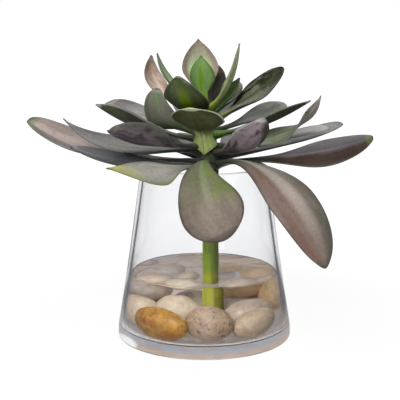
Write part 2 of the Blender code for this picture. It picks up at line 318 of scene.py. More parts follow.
def lathe(name: str, profile: Outline, sides: int) -> bpy.types.Object:
    """A solid of revolution about Z.

    Args:
        name: The object's name.
        profile: Radius and height in millimetres, from one end on the axis to the other.
        sides: How many sides a full turn has.

    Returns:
        The new object, in the scene.
    """
    turn = np.linspace(0, 2 * math.pi, sides, endpoint=False)
    section = np.array(profile) * MM
    rings = np.empty((len(section), sides, 3))
    rings[:, :, 0] = section[:, :1] * np.cos(turn)
    rings[:, :, 1] = section[:, :1] * np.sin(turn)
    rings[:, :, 2] = section[:, 1:]
    return grid_object(name, rings)


def declare(piece: bpy.types.Object, node: str, material: bpy.types.Material) -> None:
    """Dresses a piece and ties it to the frame.

    Args:
        piece: The piece.
        node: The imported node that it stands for.
        material: Its finish.
    """
    piece.data.materials.clear()
    piece.data.materials.append(material)
    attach(piece, "root")
    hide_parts(node)
    log.info("%s: %d faces", piece.name, len(piece.data.polygons))


# Stem


@dataclass(frozen=True)
class StemFinish:
    """Waxy yellow-green skin, yellower under water, with painted shade on one side of the facets,
    in the grooves and near the top under the leaves.
    """

    air: Colour = (0.21, 0.32, 0.005)
    water: Colour = (0.44, 0.46, 0.0)
    # Painted shade: the neck colour darkens the stem under the lowest leaves, and the next one is a
    # near-black painted shadow among the leaf bases.
    neck: Colour = (0.07, 0.10, 0.055)
    leaf_base_shadow: Colour = (0.02, 0.025, 0.015)
    crown: Colour = (0.34, 0.42, 0.13)
    # The groove colour darkens the grooves as painted shade, and also draws the fibres and patches.
    groove: Colour = (0.05, 0.085, 0.006)
    shaded_facet: float = 0.32  # tone of the darkest facet, in painted shade
    lit_facet: float = 1.2
    roughness: float = 0.32
    gloss: float = 0.2

    @property
    def stops(self) -> Stops:
        """The colours up the stem, by share of its height."""
        return (
            (0.0, self.water),
            (0.21, self.water),
            (0.27, self.air),
            (0.68, self.air),
            # Painted shade under the lowest leaves, then a near-black painted shadow among the leaf
            # bases.
            (0.73, self.neck),
            (0.785, self.neck),
            (0.80, self.leaf_base_shadow),
            (0.83, self.leaf_base_shadow),
            (0.86, self.crown),
        )

    def material(self) -> bpy.types.Material:
        """The stem's material.

        Returns:
            The material.
        """
        graph = Graph.for_material("stem_skin")
        height, ridge, shade = (graph.stored(name) for name in ("height", "ridge", "shade"))
        fibre = graph.noise(graph.place((420, 420, 26)), 1.0, 4, 0.6)
        patch = graph.noise(graph.place((1, 1, 0.5)), 90, 3, 0.6)
        shifted = graph.math("ADD", height, graph.times(patch, 0.03))
        skin = graph.ramp(shifted, self.stops)
        # Painted light and shade on the facets, from the stored shade.
        skin = graph.shaded(skin, graph.between(shade, 0.0, 1.0, self.shaded_facet, self.lit_facet))
        # Painted shade in the grooves between the facets.
        skin = graph.mix(graph.between(ridge, 0.0, 0.3, 0.85, 0.0), skin, self.groove)
        skin = graph.mix(graph.between(fibre, 0.5, 0.75, 0.0, 0.2), skin, self.groove)
        skin = graph.mix(graph.between(patch, 0.6, 0.75, 0.0, 0.3), skin, self.groove)
        shader = graph.principled(
            Base_Color=skin,
            Roughness=graph.between(fibre, 0.3, 0.7, self.roughness - 0.06, self.roughness + 0.1),
            Normal=graph.bump(fibre, 0.4, 0.0003),
        )
        shader.inputs["Specular IOR Level"].default_value = self.gloss
        return graph.finish(shader.outputs[0])


@dataclass(frozen=True)
class Stem:
    """The bare stem: upright in the vase, then leaning left and tapering inside the rosette."""

    radius: float = 6.5
    crown_radius: float = 7.4
    crown_height: float = 158.0
    tip_radius: float = 2.6
    bottom: float = 11.7
    top: float = 193.0
    x: float = 5.0
    y: float = -6.0
    lean_start: float = 140.0
    lean: float = 0.10
    facets: int = 6
    facet_depth: float = 0.10
    twist: float = 0.3
    winding: float = 0.5  # how far the facets wind round over the whole height, in radians
    step: float = 26.0  # height after which a facet changes its tone a little
    joint_depth: float = 0.03  # swelling of the leaf joints, as a share of the radius
    joint_start: float = 138.0
    joint_rise: float = 15.0  # height over which the joints come to their full depth
    tones: Triple = (0.55, 0.40, 0.15)  # the middle tone, the painted shade from the side a facet faces, and a random change per step
    sides: int = 96
    rings: int = 150

    def centre(self, height: float) -> np.ndarray:
        """Middle of the stem at a height, in millimetres."""
        return np.array((self.x - self.lean * max(0.0, height - self.lean_start), self.y, height))

    def radius_at(self, height: float) -> float:
        """The stem's radius at a height.

        Args:
            height: The height in millimetres.

        Returns:
            The radius in millimetres.
        """
        if height < self.crown_height:
            swell = smooth((height - self.lean_start) / (self.crown_height - self.lean_start))
            return self.radius + (self.crown_radius - self.radius) * swell
        share = (height - self.crown_height) / (self.top - self.crown_height)
        return self.crown_radius + (self.tip_radius - self.crown_radius) * share

    def facet(self, turn: np.ndarray, along: float, height: float) -> tuple[np.ndarray, np.ndarray]:
        """How the facets shape one ring of the stem, and the painted light and shade on them.

        Args:
            turn: The ring's directions, in radians.
            along: Share of the stem's height.
            height: The ring's height in millimetres.

        Returns:
            From 0 in the grooves to 1 on the faces, and painted shade from 0 on dark to 1 on lit
            faces.
        """
        full = 2 * math.pi
        start = self.twist + self.winding * along
        place = (turn + start) * self.facets / full
        number = np.floor(place)
        ridge = np.sin(math.pi * (place % 1)) ** 0.7
        step = np.floor(height / self.step + 0.4 * np.sin(number * 2.1))
        facing = (number + 0.5) * full / self.facets - self.twist - self.winding * along
        # Painted shade: facets that face +X, away from the key light, are darker.
        middle, aside, stepped = self.tones
        return ridge, middle - aside * np.cos(facing) + stepped * np.sin(step * 1.3)

    def build(self) -> bpy.types.Object:
        """The faceted stem, with swollen leaf joints in the rosette and a rounded foot and top.

        Returns:
            The stem's object.
        """
        turn = np.linspace(0, 2 * math.pi, self.sides, endpoint=False)
        share = np.linspace(0, 1, self.rings)
        points = np.empty((self.rings, self.sides, 3))
        ridges = np.empty((self.rings, self.sides))
        shades = np.empty((self.rings, self.sides))
        for ring, along in enumerate(share):
            height = self.bottom + (self.top - self.bottom) * along
            ridges[ring], shades[ring] = self.facet(turn, along, height)
            swelling = smooth((height - self.joint_start) / self.joint_rise)
            joint = self.joint_depth * math.sin(height * 0.9) * swelling
            wander = 1 + 0.02 * math.sin(height * 0.11) + 0.015 * math.sin(height * 0.31 + 1)
            end = min(1.0, math.sqrt(max(0.0, min(along, 1 - along) * 40)))
            radius = self.radius_at(height) * end * wander
            radii = radius * (1 - self.facet_depth * (1 - ridges[ring]) + joint)
            points[ring] = self.centre(height)
            points[ring, :, 0] += radii * np.cos(turn)
            points[ring, :, 1] += radii * np.sin(turn)
        points[0], points[-1] = self.centre(self.bottom), self.centre(self.top)
        heights = np.repeat(share[:, None], self.sides, axis=1)
        stored = {"height": heights, "ridge": ridges, "shade": shades}
        piece = grid_object("plant_stem", points * MM, stored)
        declare(piece, "stem", StemFinish().material())
        return piece


# Leaves


@dataclass(frozen=True)
class LeafFinish:
    """A leaf's colours from foot to tip, above and below, with its midrib, margins, marks and
    painted shade.
    """

    blade: Colour
    tip: Colour
    foot: Colour = (0.22, 0.29, 0.11)
    under: Colour = (0.05, 0.055, 0.04)
    vein: Colour = (0.27, 0.27, 0.20)
    rim: Colour = (0.30, 0.30, 0.24)
    line: Colour = (0.05, 0.05, 0.035)  # the thin outline at the very edge
    left: Colour | None = None  # tint of the left half, if it differs: its own colour, and in some tones painted shade
    right: Colour | None = None  # tint of the right half, if it differs: its own colour, and in some tones painted shade
    patch: Colour | None = None  # soft clouds of a second colour
    blotch: Colour = (0.10, 0.06, 0.045)
    foot_start: float = 0.0  # where the foot's colour begins to fade
    foot_end: float = 0.28  # where it has faded out
    tip_start: float = 0.72
    side_start: float = 0.0  # how far from the midrib the tints of the halves begin
    side_end: float = 1.0  # where along the leaf they fade out
    side_amount: float = 0.85
    core: float = 0.6  # how much light reaches the foot, deep in the rosette
    patch_amount: float = 0.6
    vein_at: float = 0.0  # how far the midrib's stripe lies to the left
    vein_width: float = 0.10
    vein_amount: float = 0.4
    rim_width: float = 0.07
    rim_amount: float = 0.6
    line_amount: float = 0.5
    blotch_amount: float = 0.3
    streak_amount: float = 0.12
    bloom: float = 0.08  # how much pale wax lies on it
    wax: Colour = (0.42, 0.41, 0.39)
    roughness: float = 0.38
    gloss: float = 0.16

    def ground(
        self, graph: Graph, along: Socket, across: Socket, over: Socket, cloud: Socket
    ) -> Socket:
        """The colours from foot to tip, of the two halves, of the underside and of the clouds.

        Args:
            graph: The material's graph.
            along: Share of the leaf's length.
            across: From -1 at the right margin to 1 at the left one.
            over: From -1 underneath to 1 on top.
            cloud: Soft noise.

        Returns:
            The colour's socket.
        """
        waver = graph.math("SUBTRACT", cloud, 0.5)
        drift = graph.math("ADD", along, graph.times(waver, 0.35))
        foot = (self.foot_start, self.foot)
        blade = ((self.foot_end, self.blade), (self.tip_start, self.blade))
        skin = graph.ramp(drift, (foot, *blade, (1.0, self.tip)))
        beneath = graph.ramp(drift, (foot, (self.foot_end, self.under), (1.0, self.under)))
        skin = graph.mix(graph.between(over, -0.25, 0.1, 1.0, 0.0), skin, beneath)
        bent = graph.math("ADD", across, graph.times(waver, 0.5))
        fade = graph.between(along, self.side_end, self.side_end + 0.2, 1.0, 0.0)
        fade = graph.times(graph.between(along, 0.1, 0.4, 0.0, self.side_amount), fade)
        start, stop = self.side_start, self.side_start + 0.35
        if self.left:
            side = graph.between(bent, start, stop)
            skin = graph.mix(graph.times(side, fade), skin, self.left)
        if self.right:
            side = graph.between(bent, -stop, -start, 1.0, 0.0)
            skin = graph.mix(graph.times(side, fade), skin, self.right)
        return skin

    def edges(self, graph: Graph, skin: Socket, along: Socket, across: Socket) -> Socket:
        """The midrib's stripe, the margins and the thin outline.

        Args:
            graph: The material's graph.
            skin: The colour so far.
            along: Share of the leaf's length.
            across: From -1 at the right margin to 1 at the left one.

        Returns:
            The colour's socket.
        """
        beside = graph.math("ABSOLUTE", across)
        aside = graph.math("ABSOLUTE", graph.math("SUBTRACT", across, self.vein_at))
        core = 0.2 * self.vein_width
        vein = graph.between(aside, core, self.vein_width, self.vein_amount, 0.0)
        vein = graph.times(vein, graph.between(along, 0.6, 0.95, 1.0, 0.1))
        skin = graph.mix(vein, skin, self.vein)
        edge = graph.between(beside, 1 - self.rim_width, 1 - 0.4 * self.rim_width)
        edge = graph.math("MAXIMUM", edge, graph.between(along, 0.955, 0.98))
        edge = graph.times(edge, graph.between(along, 0.1, 0.3, 0.0, self.rim_amount))
        skin = graph.mix(edge, skin, self.rim)
        outline = graph.between(along, 0.982, 0.992)
        outline = graph.math("MAXIMUM", graph.between(beside, 0.965, 0.985), outline)
        return graph.mix(graph.times(outline, self.line_amount), skin, self.line)

    def material(self, name: str, offset: float) -> bpy.types.Material:
        """The leaf's material.

        Args:
            name: The material's name.
            offset: Sets its marks apart from those of the other leaves.

        Returns:
            The material.
        """
        graph = Graph.for_material(name)
        along, across, over = (graph.stored(key) for key in ("along", "across", "over"))
        cloud = graph.noise(graph.place(offset=offset), 38, 4, 0.6)
        grain = graph.noise(graph.place(offset=offset), 420, 3, 0.6)
        sideways = graph.times(across, 3.0)
        lengthwise = graph.vector(sideways, graph.times(along, 1.3), over)
        streak = graph.moved(lengthwise, (0.7, 1.5, 1), (offset * 7,) * 3)
        streak = graph.noise(streak, 1.5, 5, 0.6, 0.9)
        skin = self.ground(graph, along, across, over, cloud)
        if self.patch:
            soft = graph.moved(lengthwise, (0.40, 2.0, 0.3), (offset * 5,) * 3)
            soft = graph.noise(soft, 1.2, 4, 0.6, 0.5)
            soft = graph.between(soft, 0.46, 0.58, 0.0, self.patch_amount)
            soft = graph.times(soft, graph.between(along, 0.1, 0.3))
            skin = graph.mix(soft, skin, self.patch)
        dark, light = 1 - self.streak_amount, 1 + 0.4 * self.streak_amount
        skin = graph.shaded(skin, graph.between(streak, 0.35, 0.7, dark, light))
        marks = graph.between(graph.noise(graph.place(offset=offset + 3), 62, 5, 0.7), 0.58, 0.72)
        skin = graph.mix(graph.times(marks, self.blotch_amount), skin, self.blotch)
        waxed = graph.times(graph.between(cloud, 0.42, 0.68), 0.4 * self.bloom)
        skin = graph.mix(waxed, skin, self.wax)
        skin = self.edges(graph, skin, along, across)
        # Painted shade: darker towards the margins and lighter along the middle for roundness, and
        # darker towards the foot deep in the rosette; the grain adds a random tone.
        tone = graph.between(graph.math("ABSOLUTE", across), 0.4, 0.92, 1.06, 0.84)
        tone = graph.times(graph.between(grain, 0.3, 0.7, 0.9, 1.08), tone)
        tone = graph.times(tone, graph.between(along, 0.08, 0.36, self.core, 1.0))
        skin = graph.shaded(skin, tone)

        relief = graph.times(grain, 0.3)
        relief = graph.math("ADD", graph.times(streak, 0.7), relief)
        shader = graph.principled(
            Base_Color=skin,
            Roughness=graph.between(cloud, 0.3, 0.7, self.roughness - 0.07, self.roughness + 0.12),
            Normal=graph.bump(relief, 0.3, 0.0004),
        )
        shader.inputs["Specular IOR Level"].default_value = self.gloss
        return graph.finish(shader.outputs[0])


class Tone(Enum):
    """The leaves' finishes, named for how they look."""

    # Painted shade: the dark green left half is the near half, turned down from the light, and
    # partly the leaf's own green.
    BLUSH = LeafFinish(
        blade=(0.37, 0.31, 0.275), tip=(0.41, 0.34, 0.30), foot=(0.07, 0.08, 0.065),
        under=(0.10, 0.11, 0.07), left=(0.075, 0.085, 0.055), side_start=0.12,
        rim=(0.11, 0.16, 0.06), rim_width=0.05, foot_end=0.5, patch=(0.27, 0.22, 0.20),
        vein=(0.28, 0.24, 0.22),
    )
    # Painted shade: the near-black foot and underside, and the darker left half, turned down from
    # the light.
    SLATE = LeafFinish(
        blade=(0.05, 0.053, 0.062), tip=(0.13, 0.125, 0.13), foot=(0.03, 0.035, 0.038),
        under=(0.03, 0.035, 0.03), left=(0.045, 0.055, 0.05), side_start=0.4,
        rim=(0.20, 0.20, 0.21), patch=(0.08, 0.08, 0.09), vein=(0.14, 0.14, 0.15), tip_start=0.55,
        foot_end=0.5,
    )
    ASH = LeafFinish(
        blade=(0.38, 0.36, 0.32), tip=(0.42, 0.42, 0.12), foot=(0.10, 0.11, 0.10),
        under=(0.12, 0.14, 0.08), rim=(0.25, 0.28, 0.05), rim_amount=0.8, rim_width=0.12,
        vein_amount=0.15, blotch_amount=0.15, patch=(0.26, 0.25, 0.22), line_amount=0.3,
        foot_end=0.2,
    )
    SKIRT = LeafFinish(
        blade=(0.25, 0.205, 0.165), tip=(0.23, 0.18, 0.155), foot=(0.14, 0.19, 0.075),
        foot_end=0.85, under=(0.12, 0.11, 0.08), left=(0.145, 0.21, 0.03), side_amount=0.6,
        side_end=0.65, rim=(0.07, 0.06, 0.045), rim_width=0.12, patch=(0.18, 0.145, 0.12),
        patch_amount=0.5, vein=(0.30, 0.28, 0.22), vein_amount=0.25, vein_width=0.25, tip_start=0.9,
        right=(0.13, 0.105, 0.07), foot_start=0.5, core=0.5,
    )
    # Painted highlight: the wide pale stripe along the midrib stands for the lit ridge.
    RUSSET = LeafFinish(
        blade=(0.20, 0.15, 0.125), tip=(0.165, 0.12, 0.10), foot=(0.05, 0.075, 0.045),
        foot_end=0.62, under=(0.10, 0.09, 0.075), left=(0.125, 0.115, 0.09),
        right=(0.18, 0.105, 0.083), side_start=0.15, rim=(0.10, 0.085, 0.075), rim_width=0.06,
        patch=(0.25, 0.20, 0.175), patch_amount=0.4, vein=(0.42, 0.375, 0.325), vein_amount=0.6,
        vein_width=0.42, blotch=(0.08, 0.03, 0.02), blotch_amount=0.4, foot_start=0.15, core=0.8,
    )
    # Painted shade: the dark purple-brown right half is the lower half, its own colour darkened.
    PLUM = LeafFinish(
        blade=(0.10, 0.092, 0.095), tip=(0.10, 0.085, 0.09), foot=(0.055, 0.075, 0.05),
        foot_end=0.5, under=(0.05, 0.04, 0.035), left=(0.095, 0.083, 0.09),
        right=(0.038, 0.018, 0.012), side_amount=0.95, rim=(0.14, 0.20, 0.08), rim_amount=0.5,
        rim_width=0.05, vein=(0.17, 0.17, 0.15), line_amount=0.2, roughness=0.34, core=0.8,
    )
    # Painted shadow: the near-black foot, underside and right half, the lower half in shadow.
    SHELL = LeafFinish(
        blade=(0.34, 0.32, 0.285), tip=(0.36, 0.34, 0.30), foot=(0.014, 0.017, 0.017),
        foot_end=0.55, under=(0.03, 0.03, 0.03), right=(0.02, 0.02, 0.022), side_start=0.3,
        side_end=0.75, rim=(0.46, 0.43, 0.39), vein_amount=0.2, core=1.0,
    )
    # Painted shade: the near-black foot and underside.
    SMOG = LeafFinish(
        blade=(0.22, 0.21, 0.20), tip=(0.19, 0.18, 0.175), foot=(0.02, 0.024, 0.022), foot_end=0.55,
        under=(0.03, 0.03, 0.03), rim=(0.12, 0.11, 0.11), vein_amount=0.2, core=1.0,
    )
    MIST = LeafFinish(
        blade=(0.21, 0.26, 0.15), tip=(0.34, 0.30, 0.29), foot=(0.09, 0.12, 0.07),
        under=(0.32, 0.28, 0.27), rim=(0.36, 0.39, 0.27), vein=(0.33, 0.34, 0.25),
        patch=(0.09, 0.11, 0.055), foot_end=0.35, core=0.9,
    )
    PINE = LeafFinish(
        blade=(0.04, 0.05, 0.025), tip=(0.12, 0.12, 0.10), foot=(0.15, 0.27, 0.05), foot_end=0.4,
        under=(0.035, 0.045, 0.025), rim=(0.30, 0.33, 0.24), rim_amount=0.85, line_amount=0.2,
        vein=(0.14, 0.16, 0.10), tip_start=0.85, core=1.0,
    )
    SAGE = LeafFinish(
        blade=(0.25, 0.255, 0.215), tip=(0.36, 0.35, 0.32), foot=(0.08, 0.10, 0.06), foot_end=0.4,
        under=(0.08, 0.085, 0.07), rim=(0.40, 0.39, 0.36), vein=(0.12, 0.125, 0.10),
        patch=(0.14, 0.15, 0.12),
    )
    LILAC = LeafFinish(
        blade=(0.22, 0.215, 0.20), tip=(0.14, 0.125, 0.13), foot=(0.15, 0.18, 0.12), foot_end=0.4,
        under=(0.09, 0.09, 0.08), rim=(0.34, 0.33, 0.30), patch=(0.29, 0.27, 0.25),
        vein=(0.13, 0.12, 0.12), tip_start=0.6,
    )
    SMOKE = LeafFinish(
        blade=(0.26, 0.245, 0.24), tip=(0.12, 0.11, 0.105), foot=(0.28, 0.33, 0.15), foot_end=0.62,
        under=(0.07, 0.065, 0.06), rim=(0.33, 0.31, 0.30), patch=(0.15, 0.13, 0.125),
        patch_amount=0.7, core=0.9,
    )
    DUSK = LeafFinish(
        blade=(0.085, 0.078, 0.07), tip=(0.05, 0.045, 0.045), foot=(0.10, 0.14, 0.05),
        foot_end=0.45, under=(0.055, 0.06, 0.045), rim=(0.42, 0.40, 0.38), rim_amount=0.8,
        patch=(0.10, 0.13, 0.055), vein=(0.04, 0.04, 0.03), line_amount=0.2, rim_width=0.12,
    )
    VIOLET = LeafFinish(
        blade=(0.16, 0.13, 0.14), tip=(0.15, 0.12, 0.13), foot=(0.16, 0.17, 0.13), foot_end=0.35,
        under=(0.18, 0.14, 0.16), left=(0.13, 0.14, 0.115), side_start=0.5, rim=(0.20, 0.20, 0.17),
        patch=(0.05, 0.038, 0.044), patch_amount=0.8, vein=(0.08, 0.06, 0.07),
        blotch=(0.05, 0.035, 0.04),
    )
    # Painted shadow: the near-black top face and its dark patches, inside the curled cup.
    GRAPE = LeafFinish(
        blade=(0.05, 0.045, 0.05), tip=(0.14, 0.10, 0.11), foot=(0.17, 0.18, 0.14), foot_end=0.35,
        under=(0.22, 0.18, 0.195), left=(0.12, 0.085, 0.095), side_start=0.35,
        rim=(0.40, 0.39, 0.36), rim_amount=0.8, patch=(0.035, 0.022, 0.02), patch_amount=0.85,
        blotch=(0.05, 0.03, 0.035), vein=(0.09, 0.06, 0.07), line_amount=0.2,
    )
    # Painted highlights: the pale line at the very edge, and the olive stripe beside the midrib,
    # which is partly its own colour.
    MOSS = LeafFinish(
        blade=(0.05, 0.07, 0.025), tip=(0.06, 0.075, 0.035), foot=(0.06, 0.09, 0.01),
        under=(0.045, 0.065, 0.02), rim=(0.03, 0.04, 0.015), rim_width=0.2, rim_amount=0.8,
        vein=(0.11, 0.17, 0.0), vein_at=0.22, vein_width=0.40, vein_amount=0.9,
        patch=(0.09, 0.095, 0.06), blotch=(0.04, 0.055, 0.03), line=(0.26, 0.28, 0.20),
        line_amount=0.5, roughness=0.32, core=0.8,
    )
    FAN = LeafFinish(
        blade=(0.095, 0.11, 0.045), tip=(0.12, 0.13, 0.075), foot=(0.40, 0.50, 0.18), foot_end=0.4,
        under=(0.10, 0.115, 0.05), rim=(0.52, 0.56, 0.38), rim_amount=0.95, rim_width=0.06,
        vein=(0.05, 0.055, 0.03), vein_amount=0.7, vein_width=0.07, patch=(0.06, 0.055, 0.012),
        line_amount=0.0, blotch=(0.07, 0.07, 0.03), foot_start=0.2, core=1.0,
    )
    CUP = LeafFinish(
        blade=(0.17, 0.18, 0.13), tip=(0.13, 0.13, 0.11), foot=(0.22, 0.34, 0.14), foot_end=0.5,
        under=(0.19, 0.19, 0.15), rim=(0.34, 0.34, 0.28), patch=(0.14, 0.22, 0.085),
        patch_amount=0.7, blotch=(0.10, 0.09, 0.08), core=0.9,
    )
    ROSE = LeafFinish(
        blade=(0.80, 0.61, 0.50), tip=(0.50, 0.36, 0.29), foot=(0.10, 0.12, 0.07), foot_end=0.5,
        under=(0.82, 0.63, 0.51), rim=(0.70, 0.60, 0.52), vein=(0.68, 0.60, 0.52),
        patch=(0.42, 0.31, 0.25), patch_amount=0.5, blotch=(0.25, 0.17, 0.14),
    )
    LIME = LeafFinish(
        blade=(0.42, 0.46, 0.27), tip=(0.45, 0.45, 0.38), foot=(0.28, 0.42, 0.02), foot_end=0.45,
        under=(0.42, 0.47, 0.27), rim=(0.40, 0.38, 0.32), vein=(0.16, 0.24, 0.04),
        patch=(0.25, 0.33, 0.10), core=1.0,
    )
    CROWN = LeafFinish(
        blade=(0.48, 0.62, 0.34), tip=(0.29, 0.24, 0.18), foot=(0.20, 0.34, 0.05),
        under=(0.17, 0.16, 0.10), rim=(0.29, 0.225, 0.17), rim_width=0.5, rim_amount=0.95,
        vein=(0.40, 0.42, 0.28), vein_amount=0.5, vein_width=0.12, tip_start=0.5,
        blotch=(0.22, 0.17, 0.13), line_amount=0.7, core=0.9,
    )
    SPRING = LeafFinish(
        blade=(0.18, 0.32, 0.09), tip=(0.17, 0.27, 0.09), foot=(0.20, 0.36, 0.01),
        under=(0.16, 0.28, 0.08), rim=(0.09, 0.16, 0.035), rim_width=0.2, vein=(0.14, 0.25, 0.0),
        vein_amount=0.9, vein_width=0.26, blotch=(0.12, 0.20, 0.05), blotch_amount=0.2,
        line_amount=0.4, core=1.0,
    )
    EMBER = LeafFinish(
        blade=(0.14, 0.14, 0.10), tip=(0.015, 0.015, 0.01), foot=(0.20, 0.29, 0.06), foot_end=0.4,
        under=(0.16, 0.16, 0.12), rim=(0.03, 0.028, 0.022), rim_width=0.12, rim_amount=0.9,
        patch=(0.006, 0.015, 0.00), patch_amount=0.95, vein=(0.02, 0.035, 0.004), vein_amount=0.6,
        vein_width=0.25, tip_start=0.85, line=(0.01, 0.01, 0.008), blotch=(0.03, 0.05, 0.01),
        roughness=0.28, core=1.0,
    )
    UMBER = LeafFinish(
        blade=(0.06, 0.054, 0.04), tip=(0.14, 0.12, 0.105), foot=(0.12, 0.16, 0.07),
        under=(0.05, 0.045, 0.035), rim=(0.22, 0.20, 0.17),
    )
    BARK = LeafFinish(
        blade=(0.17, 0.145, 0.125), tip=(0.30, 0.27, 0.24), foot=(0.05, 0.06, 0.035),
        under=(0.13, 0.11, 0.09), rim=(0.30, 0.27, 0.24), foot_end=0.5,
    )
    FERN = LeafFinish(
        blade=(0.30, 0.40, 0.21), tip=(0.28, 0.34, 0.20), foot=(0.20, 0.30, 0.08),
        under=(0.33, 0.42, 0.24), rim=(0.09, 0.11, 0.07), vein=(0.16, 0.24, 0.08),
    )
    IVY = LeafFinish(
        blade=(0.14, 0.25, 0.055), tip=(0.13, 0.16, 0.09), foot=(0.10, 0.17, 0.03),
        under=(0.13, 0.25, 0.04), rim=(0.22, 0.27, 0.14), patch=(0.24, 0.36, 0.13),
        vein=(0.16, 0.24, 0.08),
    )


@dataclass(frozen=True)
class Leaf:
    """One fleshy leaf: where it leaves the stem, where its tip ends, its form and its finish."""

    node: str
    turn: float  # compass direction, counter-clockwise from +X
    foot_height: float
    reach: float  # from the stem out to the tip
    rise: float  # tip above the foot
    leave: float  # slope at the foot
    end: float  # slope at the tip
    width: float
    tone: Tone
    roll: float = 0.0  # turn about its own length, positive lifting the left margin
    cup: float = 0.30  # how far the margins stand above the midrib
    wide: float = 0.62  # where the blade is widest, as a share of the length
    sway: float = 0.0  # sideways bow of the midrib
    uneven: float = 0.0  # share by which the left half is wider than the right
    foot: float = 5.6  # width where it joins the stem
    thick: float = 3.8
    tip: float = 1.7  # 2 is a round tip, 1 is a pointed one
    neck: float = 1.2  # above 1 the blade stays narrow for longer
    bend: float = 0.38  # length of the curve's handles, as a share of foot to tip
    hook: float = 0.0  # how far the tip bends to the left, in the blade's own plane
    twist: float = 0.0  # further roll between the widest place and the tip
    clasp: float = 9.0  # width of the base where it clasps the stem
    swell: float = 0.35  # how much thicker the leaf is at its base
    drop: float = 1.5  # how far the base's underside runs down the stem

    rings: int = 72
    sides: int = 44
    sink: float = 1.2  # how far the base reaches into the stem
    base_length: float = 7.0  # how far along the leaf its base thins out
    ripple: float = 0.035  # waviness of the margins, as a share of the half width
    keel: float = 0.30  # ridge under the midrib, as a share of the thickness
    groove: float = 0.16  # furrow over the midrib, as a share of the thickness
    nib: float = 1.4  # length of the point at the tip

    @property
    def slot(self) -> str:
        """The material slot for this leaf's whorl.

        Returns:
            The slot's name.
        """
        if self.foot_height < 152:
            return "leaf_outer"
        return "leaf_middle" if self.foot_height < 175 else "leaf_inner"

    def half_width(self, along: np.ndarray) -> np.ndarray:
        """Half the blade's width.

        Args:
            along: Shares of the leaf's length.

        Returns:
            Half the width at each share, in millimetres.
        """
        full, foot = self.width / 2, self.foot / 2
        before = foot + (full - foot) * smooth(np.power(along / self.wide, self.neck))
        beyond = np.clip((along - self.wide) / (1 - self.wide), 0, 1)
        after = full * np.power(1 - beyond**2, 1 / self.tip)
        return np.where(along <= self.wide, before, after)

    def midrib(self, stem: Stem, along: np.ndarray) -> tuple[np.ndarray, np.ndarray, np.ndarray]:
        """The midrib's points, its directions there, and the level direction to its left.

        Args:
            stem: The stem that the leaf grows from.
            along: Shares of the leaf's length.

        Returns:
            Points and directions, one row for each share, and the direction to the left.
        """
        turn, leave, end = (math.radians(a) for a in (self.turn, self.leave, self.end))
        out = np.array((math.cos(turn), math.sin(turn), 0.0))
        left = np.array((-math.sin(turn), math.cos(turn), 0.0))
        up = np.array((0.0, 0.0, 1.0))
        clear = stem.radius_at(self.foot_height) - self.sink
        clear += self.thick / 2 * max(0.0, math.sin(leave))
        start, finish = np.array((clear, 0.0)), np.array((self.reach, self.rise))
        handle = self.bend * np.linalg.norm(finish - start)
        first = start + handle * np.array((math.cos(leave), math.sin(leave)))
        second = finish - handle * np.array((math.cos(end), math.sin(end)))
        t, u = along[:, None], 1 - along[:, None]
        flat = u**3 * start + 3 * u * u * t * first + 3 * u * t * t * second + t**3 * finish
        slope = u * u * (first - start) + 2 * u * t * (second - first) + t * t * (finish - second)
        place = stem.centre(self.foot_height) + flat[:, :1] * out + flat[:, 1:] * up
        place = place + 4 * self.sway * t * u * left
        heading = slope[:, :1] * out + slope[:, 1:] * up + 4 * self.sway * (1 - 2 * t) / 3 * left
        return place, heading / np.linalg.norm(heading, axis=1, keepdims=True), left

    def axes(self, stem: Stem, along: np.ndarray) -> tuple[np.ndarray, ...]:
        """The midrib's points, and the blade's own directions there.

        Args:
            stem: The stem that the leaf grows from.
            along: Shares of the leaf's length.

        Returns:
            Points, and directions to the tip, to the left and up, one row for each share.
        """
        place, heading, left = self.midrib(stem, along)
        top = np.cross(heading, left)
        top /= np.linalg.norm(top, axis=1, keepdims=True)
        side = np.cross(top, heading)
        roll = np.radians(self.roll) * smooth(along / self.wide)
        roll = roll + np.radians(self.twist) * smooth((along - self.wide) / (1 - self.wide))
        cos, sin = np.cos(roll)[:, None], np.sin(roll)[:, None]
        return place, heading, side * cos + top * sin, top * cos - side * sin

    def relief(
        self, share: np.ndarray, across: np.ndarray, over: np.ndarray, half: np.ndarray
    ) -> np.ndarray:
        """How far the surface stands above the plane through the midrib.

        Args:
            share: Shares of the leaf's length, as a column.
            across: From -1 at the right margin to 1 at the left one.
            over: From -1 underneath to 1 on top.
            half: Half the width at each point.

        Returns:
            Heights in millimetres, rings by sides.
        """
        phase = self.turn * 0.7 + self.reach
        wave = np.sin(9 * share + phase + 1.5 * np.sign(across))
        ripple = self.ripple * wave * np.abs(across) ** 3
        curl = self.cup * across**2 + ripple * smooth(share * 3)
        curl = curl * half * smooth(share / 0.4)
        body = self.thick * (1 - 0.6 * share) / 2 * (1 + self.swell * self.base(share))
        keel = self.keel * np.exp(-((across / 0.22) ** 2))
        keel = np.where(over < 0, keel, 0) * (1 - share)
        groove = -self.groove * np.exp(-((across / 0.10) ** 2))
        groove = np.where(over > 0, groove, 0) * smooth(share * 6)
        return curl + body * (over * (1 + keel) + groove)

    def base(self, share: np.ndarray) -> np.ndarray:
        """How much of the base's swelling is left at each share of the length."""
        return np.exp(-((share * math.hypot(self.reach, self.rise) / self.base_length) ** 2))

